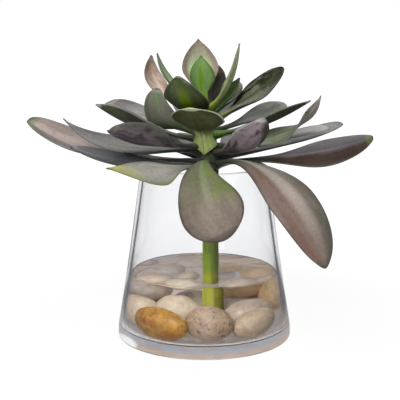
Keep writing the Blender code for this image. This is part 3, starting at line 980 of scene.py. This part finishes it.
    def skin(self, stem: Stem) -> tuple[np.ndarray, dict[str, np.ndarray]]:
        """The leaf's surface.

        Args:
            stem: The stem that the leaf grows from.

        Returns:
            Rings by sides by 3 points in metres, and what each point stores for the finish.
        """
        along = (1 - np.cos(np.linspace(0, math.pi, self.rings))) / 2
        place, heading, side, top = self.axes(stem, along)
        angle = np.linspace(0, 2 * math.pi, self.sides, endpoint=False)
        across = np.sign(np.cos(angle)) * np.abs(np.cos(angle)) ** 0.9
        over = np.sign(np.sin(angle)) * np.abs(np.sin(angle)) ** 0.8
        share = along[:, None]
        spread = 1 + self.uneven * np.where(across > 0, 1, -1)
        base = self.base(share)
        half = self.half_width(along)[:, None] * spread + (self.clasp - self.foot) / 2 * base
        height = self.relief(share, across, over, half)
        point = self.nib * np.clip((along - 0.965) / 0.035, 0, 1)[:, None, None] ** 2
        offset = half * across + self.hook * share**4
        points = place[:, None] + side[:, None] * offset[:, :, None]
        points = points + top[:, None] * height[:, :, None] + heading[:, None] * point
        points[:, :, 2] -= self.drop * base * (1 - np.abs(across)) * np.clip(0.4 - over, 0, 1)
        points[0], points[-1] = place[0], place[-1] + heading[-1] * self.nib + side[-1] * self.hook
        given = {"along": share, "across": across, "over": over}
        shape = (self.rings, self.sides)
        return points * MM, {key: np.broadcast_to(value, shape) for key, value in given.items()}

    def build(self, stem: Stem, index: int) -> bpy.types.Object:
        """The dressed leaf.

        Args:
            stem: The stem that the leaf grows from.
            index: The leaf's place in the rosette, which sets its marks apart.

        Returns:
            The leaf's object.
        """
        points, stored = self.skin(stem)
        piece = grid_object(self.node.replace("leaf", "blade", 1), points, stored)
        finish = self.tone.value.material(f"{self.tone.name.lower()}_{index:02d}", 1.7 * index)
        declare(piece, self.node, finish)
        return piece


@dataclass(frozen=True)
class Rosette:
    """The whorls of leaves, from the lowest up to the heart."""

    leaves: tuple[Leaf, ...] = (
        # Lowest whorl: the longest leaves, level or drooping over the rim.
        Leaf("leaf_far_left", 168, 144, 157, 26, 0, 26, 31, Tone.BLUSH, roll=-24, wide=0.74,
             tip=2.6, hook=-8),
        Leaf("leaf_left_low", 200, 140.5, 112, 19, 3, 22, 26, Tone.SLATE, roll=-22, cup=0.10,
             foot=7, neck=0.95),
        Leaf("leaf_left_droop", 229, 140, 113, 10, 5.5, 5, 27, Tone.ASH, roll=-39, cup=0.15,
             wide=0.62, tip=0.9, neck=1.8, uneven=0.6),
        Leaf("leaf_front_droop", 279, 141, 66, -46, 24, -86, 49, Tone.SKIRT, cup=-0.10, wide=0.82,
             neck=1.35, sway=-15, tip=2.2, bend=0.55, foot=6.2),
        Leaf("leaf_right_droop", 316, 142, 115, -65, 20, -75, 40, Tone.RUSSET, roll=22, cup=-0.20),
        Leaf("leaf_far_right", 356, 143, 128, 18.5, 6, 18, 31, Tone.PLUM, roll=34, cup=-0.12,
             wide=0.72, tip=2.1, hook=4),
        Leaf("leaf_right_back_long", 30, 146, 130, 22.5, 4, 14, 20, Tone.SMOG, roll=12, cup=0.05,
             tip=3.4, wide=0.84),
        Leaf("leaf_right_back_mid", 19, 150.5, 103.5, 17.5, 7, 8, 21, Tone.SHELL, roll=8, cup=0.05,
             tip=3.4, wide=0.84),
        Leaf("leaf_back_right_low", 66, 145, 112, 14, 8, 4, 33, Tone.SMOKE),
        Leaf("leaf_back_low", 99, 142, 118, 12, 5, 4, 35, Tone.SMOG),
        Leaf("leaf_back_left_low", 133, 145, 112, 18, 6, 8, 34, Tone.SLATE),
        # Second whorl.
        Leaf("leaf_left_needle", 179, 153, 115, 24, 2, 46, 27, Tone.LILAC, roll=-25, wide=0.42,
             tip=0.9),
        Leaf("leaf_left_purple", 211, 157, 86, 15.5, 2, 24, 33, Tone.VIOLET, roll=28, cup=0.45,
             wide=0.70, tip=2.6),
        Leaf("leaf_right_purple", 322, 153, 52, 27, -4, 86, 32, Tone.GRAPE, roll=-20, cup=0.60,
             wide=0.60, tip=2.2, bend=0.44, foot=8, neck=0.8),
        Leaf("leaf_right_twist", 6, 156.5, 90, 38, -2, 68, 22, Tone.MIST, roll=30, cup=0.15,
             wide=0.46, tip=1.15, twist=-100),
        # Third whorl.
        Leaf("leaf_left_blade", 176, 162, 88.5, 26, 5, 34, 32, Tone.DUSK, roll=14, cup=0.50,
             wide=0.70, tip=1.4),
        Leaf("leaf_left_back", 147, 166, 98, 21, 8, 20, 31, Tone.SMOKE, roll=-14, cup=0.15, tip=3.2,
             wide=0.76),
        Leaf("leaf_front_fan", 251, 158.5, 43, 30, 56, 38, 43, Tone.FAN, cup=0.15, wide=0.57,
             tip=1.8, neck=1.8, foot=11, clasp=20, drop=6.5),
        Leaf("leaf_right_blade", 356, 166, 80, 26, 6, 32, 23, Tone.PINE, roll=-8, cup=0.40, tip=1.4,
             neck=0.8, foot=8),
        Leaf("leaf_right_back", 34, 168, 77, 18.5, 8, 16, 23, Tone.SAGE, roll=20, cup=0.08, tip=2.8,
             wide=0.82),
        Leaf("leaf_back_right", 68, 171, 66, 18, 12, 14, 28, Tone.UMBER),
        Leaf("leaf_back", 104, 166, 84, 22, 12, 16, 32, Tone.SAGE),
        # Fourth whorl: half upright.
        Leaf("leaf_left_cup", 188, 170, 39, 31, -4, 98, 32, Tone.CUP, roll=40, cup=0.10, tip=2.3,
             bend=0.46, uneven=-0.30, wide=0.60, foot=4.2),
        Leaf("leaf_front_left", 235, 182, 37, 29.5, 5, 96, 40, Tone.MOSS, wide=0.48, tip=2.0,
             bend=0.46, foot=10, neck=0.87),
        Leaf("leaf_right_tall", 12, 177, 62, 40, 20, 44, 30, Tone.EMBER, roll=24, wide=0.66,
             tip=2.2, neck=0.9, uneven=-0.25),
        Leaf("leaf_back_brown", 58, 179, 50, 26, 26, 45, 26, Tone.BARK),
        Leaf("leaf_back_left_high", 122, 178, 48, 28, 26, 44, 26, Tone.FERN),
        # Heart of the rosette: small upright leaves.
        Leaf("leaf_heart_left", 164, 184.5, 45, 42, 14, 112, 25, Tone.ROSE, roll=-14, thick=3.2,
             bend=0.44),
        Leaf("leaf_heart_left_in", 178, 190, 37, 38, 24, 84, 15, Tone.FERN, roll=-10, thick=2.8),
        Leaf("leaf_heart_right", 2, 187, 27, 48.5, 34, 86, 23, Tone.LIME, thick=3.0, wide=0.50,
             tip=1.2, neck=0.8),
        Leaf("leaf_heart_right_in", 22, 181.5, 29, 27, 36, 70, 24, Tone.IVY, thick=3.0),
        Leaf("leaf_heart_back_right", 77, 186, 33, 34, 22, 86, 24, Tone.UMBER, thick=3.0, tip=2.2),
        Leaf("leaf_heart_tall", 104, 191, 20, 48, 50, 88, 30, Tone.CROWN, wide=0.55, tip=1.3,
             thick=3.2, foot=5),
        Leaf("leaf_heart_inner", 250, 192.5, 8, 34, 80, 95, 21, Tone.SPRING, wide=0.5, tip=1.4,
             thick=2.6, foot=4),
    )

    def build(self, stem: Stem) -> list[bpy.types.Object]:
        """All the leaves, dressed.

        Args:
            stem: The stem that they grow from.

        Returns:
            The leaves' objects.
        """
        return [leaf.build(stem, index) for index, leaf in enumerate(self.leaves)]


# Vase and water


@dataclass(frozen=True)
class ClearFinish:
    """A clear body that light passes through to what it holds."""

    name: str
    tint: Colour
    ior: float
    roughness: float = 0.0
    flow: float = 0.0  # depth of its slow surface waves, in metres

    def material(self) -> bpy.types.Material:
        """The clear material, through which lamps still reach the pebbles.

        Returns:
            The material.
        """
        graph = Graph.for_material(self.name)
        shader = graph.principled(Base_Color=self.tint, Roughness=self.roughness)
        shader.inputs["IOR"].default_value = self.ior
        shader.inputs["Transmission Weight"].default_value = 1.0
        if self.flow:
            wave = graph.noise(graph.place((1, 1, 0.5)), 26, 2, 0.4)
            graph.put(shader.inputs["Normal"], graph.bump(wave, 0.6, self.flow))
        open_way = graph.add("BsdfTransparent", {"Color": self.tint})
        return graph.finish(graph.choose(graph.ray("Shadow"), shader.outputs[0], open_way))


@dataclass(frozen=True)
class Vase:
    """A thick-bottomed glass tumbler that narrows towards its open rim, and its clear fill."""

    height: float = 140.0
    heel_radius: float = 70.8
    heel_height: float = 8.0
    heel_round: float = 2.6
    mid_radius: float = 60.2
    mid_height: float = 75.0
    rim_radius: float = 51.4
    wall: float = 3.6
    floor: float = 8.7
    inner_corner: float = 5.0
    dish: float = 0.6  # how far the floor dips in its middle
    water: float = 53.2
    meniscus: float = 1.1
    meniscus_reach: float = 1.6
    climb: float = 0.8  # how far the water climbs the stem
    climb_reach: float = 1.4
    film: float = 0.3  # air between the fill and the bore, which keeps the wall's lines in sight
    bedded: float = 0.3  # how far the fill reaches into the glass of the floor, where it sticks
    seat: float = 0.05  # how far the foot is pressed into the table
    sides: int = 180

    def outer(self, height: float) -> float:
        """Outer radius at a height: a slight inward bow between the heel and the rim.

        Args:
            height: The height in millimetres.

        Returns:
            The radius in millimetres.
        """
        low, mid, high = self.heel_height, self.mid_height, self.height
        heel = (height - mid) * (height - high) / ((low - mid) * (low - high))
        middle = (height - low) * (height - high) / ((mid - low) * (mid - high))
        rim = (height - low) * (height - mid) / ((high - low) * (high - mid))
        return self.heel_radius * heel + self.mid_radius * middle + self.rim_radius * rim

    def inner(self, height: float) -> float:
        """Radius of the bore at a height."""
        return self.outer(height) - self.wall

    @property
    def corner(self) -> tuple[float, float]:
        """Centre of the round between the floor and the bore."""
        height = self.floor + self.inner_corner
        return self.inner(height) - self.inner_corner, height

    @staticmethod
    def arc(
        centre: tuple[float, float], radius: float, start: float, stop: float, steps: int
    ) -> Outline:
        """Points along an arc in the plane of radius and height.

        Args:
            centre: The arc's centre.
            radius: Its radius.
            start: Its first angle, in degrees.
            stop: Its last angle.
            steps: How many steps it takes.

        Returns:
            The points.
        """
        across, up = centre
        turn = np.radians(np.linspace(start, stop, steps + 1))
        return [(across + radius * math.cos(a), up + radius * math.sin(a)) for a in turn]

    def section(self) -> Outline:
        """The glass's section.

        Returns:
            Radius and height, from the middle of the floor over the rim and down to the foot.
        """
        lip = self.wall / 2
        reach, corner_height = self.corner
        across = np.linspace(0, reach - 2, 12)
        dish = [(r, self.floor - self.dish * (1 - (r / reach) ** 2)) for r in across]
        corner = self.arc(self.corner, self.inner_corner, -90, 0, 12)
        levels = list(np.linspace(corner_height + 3, self.height - lip - 1, 34))
        bore = [(self.inner(h), h) for h in levels]
        rim = self.arc((self.outer(self.height) - lip, self.height - lip), lip, 180, 0, 14)
        levels = [*reversed(levels), self.heel_height + 6, self.heel_height + 2]
        outside = [(self.outer(h), h) for h in levels]
        inset = self.heel_radius - self.heel_round
        heel = self.arc((inset, self.heel_round), self.heel_round, 0, -80, 14)
        foot = [(inset, -self.seat), (0.0, -self.seat)]
        return dish + corner + bore + rim + outside + heel + foot

    def build_glass(self) -> bpy.types.Object:
        """The glass tumbler.

        Returns:
            The vase's object.
        """
        piece = lathe("tumbler", self.section(), self.sides)
        finish = ClearFinish("vase_glass", (0.972, 0.976, 0.985), 1.46, flow=0.0004)
        declare(piece, "glass_vase", finish.material())
        return piece

    def build_water(self, stem: Stem) -> bpy.types.Object:
        """The clear fill, with a surface that climbs a little at the glass and at the stem.

        Args:
            stem: The stem that stands in it.

        Returns:
            The fill's object.
        """
        inset, corner_height = self.corner
        bore = self.inner(self.water) - self.film
        radii = [*np.linspace(0, bore - 6, 20), *np.linspace(bore - 5, bore - 0.2, 12)]
        rise = [self.meniscus * math.exp((r - bore) / self.meniscus_reach) for r in radii]
        surface = [(r, self.water + up) for r, up in zip(radii, rise)]
        levels = np.linspace(self.water + self.meniscus, corner_height + 2, 20)
        wall = [(self.inner(h) - self.film, h) for h in levels]
        across, down = self.inner_corner - self.film, self.inner_corner + self.bedded
        turn = np.radians(np.linspace(0, 90, 13))
        bend = [(inset + across * math.cos(a), corner_height - down * math.sin(a)) for a in turn]
        foot = [(0.0, self.floor - self.bedded - self.dish)]
        piece = lathe("clear_water", surface + wall + bend + foot, self.sides)
        reach = stem.radius_at(self.water)
        for vert in piece.data.vertices:
            away = math.hypot(vert.co.x / MM - stem.x, vert.co.y / MM - stem.y) - reach
            if vert.co.z > (self.water - 0.5) * MM and away < 6:
                vert.co.z += self.climb * MM * math.exp(-max(0.0, away) / self.climb_reach)
        finish = ClearFinish("still_water", (0.93, 0.90, 0.87), 1.45)
        declare(piece, "water_fill", finish.material())
        return piece


# Pebbles


@dataclass(frozen=True)
class StoneFinish:
    """A water-worn stone: colours in soft clouds, stains, broken veins, and fine dark grains."""

    slot: str
    body: Colour
    second: Colour
    stain: Colour
    vein: Colour
    grain: Colour
    cloud_size: float = 55.0
    stain_amount: float = 0.4
    vein_amount: float = 0.4
    grain_amount: float = 0.35
    spot_amount: float = 0.12  # dark spots in clusters
    roughness: float = 0.40

    def material(self, name: str, offset: float) -> bpy.types.Material:
        """The stone's material.

        Args:
            name: The material's name.
            offset: Sets its marks apart from those of the other stones.

        Returns:
            The material.
        """
        graph = Graph.for_material(name)
        here = graph.place(offset=offset)
        cloud = graph.noise(here, self.cloud_size, 5, 0.6, 0.6)
        skin = graph.ramp(cloud, [(0.36, self.body), (0.64, self.second)])
        stain = graph.noise(graph.place(offset=offset + 9), 75, 5, 0.65, 0.8)
        skin = graph.mix(graph.between(stain, 0.48, 0.58, 0.0, self.stain_amount), skin, self.stain)
        wander = graph.noise(here, 42, 5, 0.6, 1.6)
        line = graph.math("ABSOLUTE", graph.math("SUBTRACT", wander, 0.52))
        broken = graph.between(graph.noise(here, 130, 3, 0.6), 0.44, 0.56, 0.0, self.vein_amount)
        line = graph.times(graph.between(line, 0.004, 0.024, 1.0, 0.0), broken)
        skin = graph.mix(line, skin, self.vein)
        cluster = graph.noise(graph.place(offset=offset + 4), 48, 2, 0.5)
        cluster = graph.between(cluster, 0.44, 0.60, 0.2, 1.0)
        spot = graph.between(graph.noise(here, 150, 4, 0.75), 0.55, 0.60, 0.0, self.spot_amount)
        skin = graph.mix(graph.times(spot, cluster), skin, self.vein)
        speck = graph.noise(here, 520, 4, 0.7)
        skin = graph.mix(graph.between(speck, 0.56, 0.66, 0.0, self.grain_amount), skin, self.grain)
        pit = graph.between(graph.cells(here, 330), 0.12, 0.24, 0.6 * self.grain_amount, 0.0)
        skin = graph.mix(pit, skin, self.grain)
        shade = graph.between(graph.noise(here, 190, 4, 0.6), 0.3, 0.7, 0.84, 1.1)
        relief = graph.math("ADD", speck, graph.times(cloud, 2.0))
        shader = graph.principled(
            Base_Color=graph.shaded(skin, shade),
            Roughness=graph.between(cloud, 0.3, 0.7, self.roughness - 0.08, self.roughness + 0.12),
            Normal=graph.bump(relief, 0.4, 0.0005),
        )
        return graph.finish(shader.outputs[0])


class Stone(Enum):
    """The stones' finishes, named for how they look."""

    CREAM = StoneFinish(
        "stone_cream", (0.62, 0.50, 0.36), (0.74, 0.64, 0.50), (0.56, 0.42, 0.28),
        (0.42, 0.30, 0.20), (0.40, 0.30, 0.22),
    )
    IVORY = StoneFinish(
        "stone_cream", (0.46, 0.34, 0.22), (0.56, 0.44, 0.32), (0.64, 0.53, 0.40),
        (0.24, 0.17, 0.11), (0.28, 0.20, 0.14),
    )
    TAN = StoneFinish(
        "stone_tan", (0.78, 0.53, 0.27), (0.82, 0.61, 0.37), (0.66, 0.43, 0.21), (0.36, 0.20, 0.09),
        (0.35, 0.23, 0.14), stain_amount=0.3,
    )
    GREY = StoneFinish(
        "stone_grey", (0.50, 0.43, 0.38), (0.66, 0.57, 0.50), (0.40, 0.34, 0.30),
        (0.24, 0.18, 0.15), (0.22, 0.18, 0.16),
    )
    ROSY = StoneFinish(
        "stone_grey", (0.62, 0.50, 0.39), (0.52, 0.42, 0.35), (0.70, 0.57, 0.46),
        (0.24, 0.17, 0.13), (0.26, 0.19, 0.15),
    )
    ORANGE = StoneFinish(
        "stone_orange", (0.56, 0.29, 0.025), (0.46, 0.26, 0.06), (0.38, 0.14, 0.01),
        (0.09, 0.035, 0.012), (0.14, 0.06, 0.02), stain_amount=0.8, grain_amount=0.6,
        spot_amount=0.55,
    )
    SPECKLED = StoneFinish(
        "stone_speckled", (0.46, 0.33, 0.215), (0.38, 0.265, 0.175), (0.52, 0.39, 0.27),
        (0.05, 0.03, 0.022), (0.11, 0.065, 0.045), vein_amount=0.5, grain_amount=0.85,
        spot_amount=0.95,
    )
    # Painted light: lighter copies of the tan and grey finishes, for stones that sit in shade at
    # the back.
    HONEY = StoneFinish(
        "stone_tan", (0.84, 0.70, 0.50), (0.90, 0.78, 0.60), (0.70, 0.55, 0.38), (0.50, 0.38, 0.26),
        (0.50, 0.40, 0.30),
    )
    PALE = StoneFinish(
        "stone_grey", (0.80, 0.72, 0.64), (0.86, 0.79, 0.71), (0.66, 0.58, 0.51),
        (0.45, 0.38, 0.32), (0.45, 0.38, 0.33),
    )


@dataclass(frozen=True)
class Pebbles:
    """The river pebbles on the vase's floor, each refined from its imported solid."""

    stones: tuple[tuple[str, Stone], ...] = (
        ("pebble_front", Stone.SPECKLED),
        ("pebble_orange", Stone.ORANGE),
        ("pebble_right", Stone.IVORY),
        ("pebble_left", Stone.CREAM),
        ("pebble_right_wall", Stone.TAN),
        ("pebble_back_left", Stone.GREY),
        ("pebble_back", Stone.CREAM),
        ("pebble_back_right", Stone.HONEY),
        ("pebble_centre_left", Stone.CREAM),
        ("pebble_centre_back", Stone.PALE),
        ("pebble_cream_top", Stone.CREAM),
        ("pebble_left_top", Stone.GREY),
        ("pebble_right_top", Stone.ROSY),
        ("pebble_back_top", Stone.GREY),
        ("pebble_tan_top", Stone.TAN),
    )
    levels: int = 3
    grow: float = 0.9  # millimetres given back after the corners are rounded off
    dent: float = 0.7
    dent_size: float = 14.0
    small_dent: float = 0.12
    apart: float = 7.3  # step in the dents' pattern from one stone to the next

    def build_one(self, node: str, stone: Stone, index: int) -> bpy.types.Object:
        """One pebble: its solid, rounded and gently dented.

        Args:
            node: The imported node.
            stone: Its finish.
            index: Its place in the list, which sets its marks apart.

        Returns:
            The pebble's object.
        """
        bm = bmesh.new()
        bm.from_mesh(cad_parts[node].data)
        bmesh.ops.remove_doubles(bm, verts=bm.verts, dist=0.02 * MM)
        bmesh.ops.join_triangles(
            bm, faces=bm.faces, angle_face_threshold=1.2, angle_shape_threshold=3.1
        )
        mesh = bpy.data.meshes.new(node)
        bm.to_mesh(mesh)
        bm.free()
        piece = linked(node.replace("pebble", "stone", 1), mesh)
        rounding = piece.modifiers.new("rounding", "SUBSURF")
        rounding.levels = rounding.render_levels = self.levels
        rounded = piece.evaluated_get(bpy.context.evaluated_depsgraph_get())
        fine = bpy.data.meshes.new_from_object(rounded)
        piece.modifiers.clear()
        piece.data = fine
        middle = sum((v.co for v in fine.vertices), Vector()) / len(fine.vertices)
        normals = [vert.normal.copy() for vert in fine.vertices]
        for vert, normal in zip(fine.vertices, normals):
            spot = (vert.co - middle) / (self.dent_size * MM) + Vector((self.apart * index,) * 3)
            push = self.grow + self.dent * noise.noise(spot)
            push += self.small_dent * noise.noise(spot * 5)
            vert.co += normal * push * MM
        fine.shade_smooth()
        finish = stone.value.material(f"{stone.name.lower()}_{index:02d}", 2.3 * index)
        declare(piece, node, finish)
        return piece

    def build(self) -> list[bpy.types.Object]:
        """All the pebbles, dressed.

        Returns:
            The pebbles' objects.
        """
        return [self.build_one(*stone, index) for index, stone in enumerate(self.stones)]


# Studio


@dataclass(frozen=True)
class Lamp:
    """A square soft box that faces the plant."""

    name: str
    place: Triple
    size: float
    watts: float

    def build(self, target: Vector) -> None:
        """Hangs the lamp and turns it to the target.

        Args:
            target: The point that it faces.
        """
        data = bpy.data.lights.new(self.name, "AREA")
        data.size = self.size
        data.energy = self.watts
        lamp = bpy.data.objects.new(self.name, data)
        lamp.location = self.place
        lamp.rotation_euler = (target - lamp.location).to_track_quat("-Z", "Y").to_euler()
        bpy.context.scene.collection.objects.link(lamp)


@dataclass(frozen=True)
class Studio:
    """A pale table under soft light, and the camera."""

    camera_place: Triple = (-0.0035, -0.755, 0.2414)
    camera_tilt: float = 80.24
    lens: float = 85.0
    lamps: tuple[Lamp, ...] = (
        Lamp("key_box", (-0.35, -0.95, 1.00), 0.8, 17.0),
        Lamp("fill_box", (1.0, -0.6, 0.6), 0.9, 2.0),
        Lamp("back_box", (0.1, 0.9, 1.0), 0.9, 4.0),
    )
    target: Triple = (0.0, 0.0, 0.12)
    sky: float = 0.28  # the world's light on matt surfaces
    gloss: float = 0.34  # the world's light in reflections
    sides: tuple[float, float] = (0.14, 0.40)  # where the world's darker sides begin and are full
    side_shade: Colour = (0.01, 0.012, 0.02)
    table: float = 30.0  # half the table's width
    table_colour: Colour = (0.50, 0.50, 0.50)
    table_glow: float = 1.09
    flags: tuple[float, float] = (0.48, 0.62)  # the same for dark flags painted on the table's sides, seen only through the glass
    flag_shade: Colour = (0.03, 0.033, 0.055)
    ring_reach: float = 0.1  # radius in metres at which the painted rings of shadow and reflection under the glass end
    # Painted reflection mottling and a painted gleam, seen only through the glass.
    reflection_mottle: Colour = (0.33, 0.24, 0.18)
    gleam: Colour = (0.92, 0.95, 0.95)
    # Painted shadow and painted pebble reflections under the foot, seen only through the glass.
    base_shadow_and_reflections: Stops = (
        (0.0, (0.46, 0.40, 0.36)),
        (0.30, (0.42, 0.38, 0.36)),
        (0.40, (0.38, 0.40, 0.46)),
        (0.48, (0.38, 0.40, 0.46)),
        (0.53, (0.50, 0.38, 0.30)),
        (0.80, (0.56, 0.46, 0.38)),
    )
    heights: Stops = (
        (0.50, WHITE),
        (0.54, (0.60, 0.56, 0.54)),
        (0.60, (0.50, 0.46, 0.45)),
        (0.68, (0.33, 0.35, 0.41)),
        (1.0, WHITE),
    )

    def build_camera(self) -> None:
        """The camera, at eye level a little above the rosette."""
        data = bpy.data.cameras.new("camera")
        data.lens = self.lens
        data.sensor_width = 36.0
        data.clip_start, data.clip_end = 0.01, 50.0
        camera = bpy.data.objects.new("camera", data)
        camera.location = self.camera_place
        camera.rotation_euler = (math.radians(self.camera_tilt), 0.0, 0.0)
        bpy.context.scene.collection.objects.link(camera)
        bpy.context.scene.camera = camera

    def build_world(self) -> None:
        """White to the eye and through glass, with darker sides that draw the glass's edges."""
        world = bpy.data.worlds.new("studio")
        bpy.context.scene.world = world
        graph = Graph(world)
        way = graph.add("TexCoord", {}, "Generated")
        aside = graph.between(graph.math("ABSOLUTE", graph.part(way, "X")), *self.sides)
        level = graph.times(graph.math("ADD", graph.part(way, "Z"), 1.0), 0.5)
        colour = graph.mix(aside, graph.ramp(level, self.heights), self.side_shade)
        plain, shine = (graph.background(WHITE, power) for power in (self.sky, self.gloss))
        shader = graph.choose(graph.ray("Glossy"), plain, shine)
        shader = graph.choose(graph.ray("Transmission"), shader, graph.background(colour))
        graph.finish(graph.choose(graph.ray("Camera"), shader, graph.background(WHITE)))

    def table_colours(self, graph: Graph, here: Socket, away: Socket, through: Socket) -> Socket:
        """The table's glow: white, but for painted shadow, painted pebble reflections, a painted
        gleam and painted dark flags that only the glass shows.

        Args:
            graph: The table's graph.
            here: The place on the table.
            away: Its distance from the middle.
            through: 1 for rays that come through the glass, 0 for all others.

        Returns:
            The colour.
        """
        # Painted shadow and pebble reflections under the foot, mottled, with a painted gleam where
        # light would focus through the glass.
        below = graph.ramp(graph.math("DIVIDE", away, self.ring_reach), self.base_shadow_and_reflections)
        grain = graph.between(graph.noise(graph.place(), 85, 5, 0.7, 0.8), 0.46, 0.60, 0.0, 0.4)
        below = graph.mix(grain, below, self.reflection_mottle)
        gleam = graph.length(graph.moved(here, (80, 45, 0), (4.64, 0.9, 0)))
        below = graph.mix(graph.between(gleam, 0.7, 1.1, 0.95, 0.0), below, self.gleam)
        aside = graph.math("DIVIDE", graph.math("ABSOLUTE", graph.part(here, "X")), away)
        flag = graph.times(graph.between(aside, *self.flags), through)
        near = graph.times(graph.between(away, 0.08, 0.16, 1.0, 0.0), through)
        return graph.mix(near, graph.mix(flag, WHITE, self.flag_shade), below)

    def build_floor(self) -> None:
        """A wide pale table that runs to the horizon, with the plant's shadow on it."""
        far = self.table
        corners = [(-far, -far, 0), (far, -far, 0), (far, far, 0), (-far, far, 0)]
        mesh = bpy.data.meshes.new("table")
        mesh.from_pydata(corners, [], [(0, 1, 2, 3)])
        floor = bpy.data.objects.new("table", mesh)
        bpy.context.scene.collection.objects.link(floor)
        graph = Graph.for_material("table_top")
        here, through = graph.here(), graph.ray("Transmission")
        away = graph.length(here)
        matt = graph.principled(Base_Color=self.table_colour, Roughness=0.9)
        colours = self.table_colours(graph, here, away, through)
        glow = graph.add("Emission", {"Color": colours, "Strength": self.table_glow})
        seen = graph.math("MAXIMUM", graph.ray("Camera"), through)
        share = graph.times(seen, graph.between(away, 0.12, 0.55, 0.84, 1.0))
        mesh.materials.append(graph.finish(graph.choose(share, matt.outputs[0], glow)))

    def build(self) -> None:
        """Camera, world, floor and lamps."""
        self.build_camera()
        self.build_world()
        self.build_floor()
        for lamp in self.lamps:
            lamp.build(Vector(self.target))
        bpy.context.scene.view_settings.view_transform = "Standard"


def main() -> None:
    """Builds and dresses the potted echeveria and its studio."""
    logging.basicConfig(level=logging.INFO, format="%(name)s: %(message)s")
    stem = Stem()
    vase = Vase()
    vase.build_glass()
    vase.build_water(stem)
    stem.build()
    Rosette().build(stem)
    Pebbles().build()
    Studio().build()


if __name__ == "__main__":
    main()
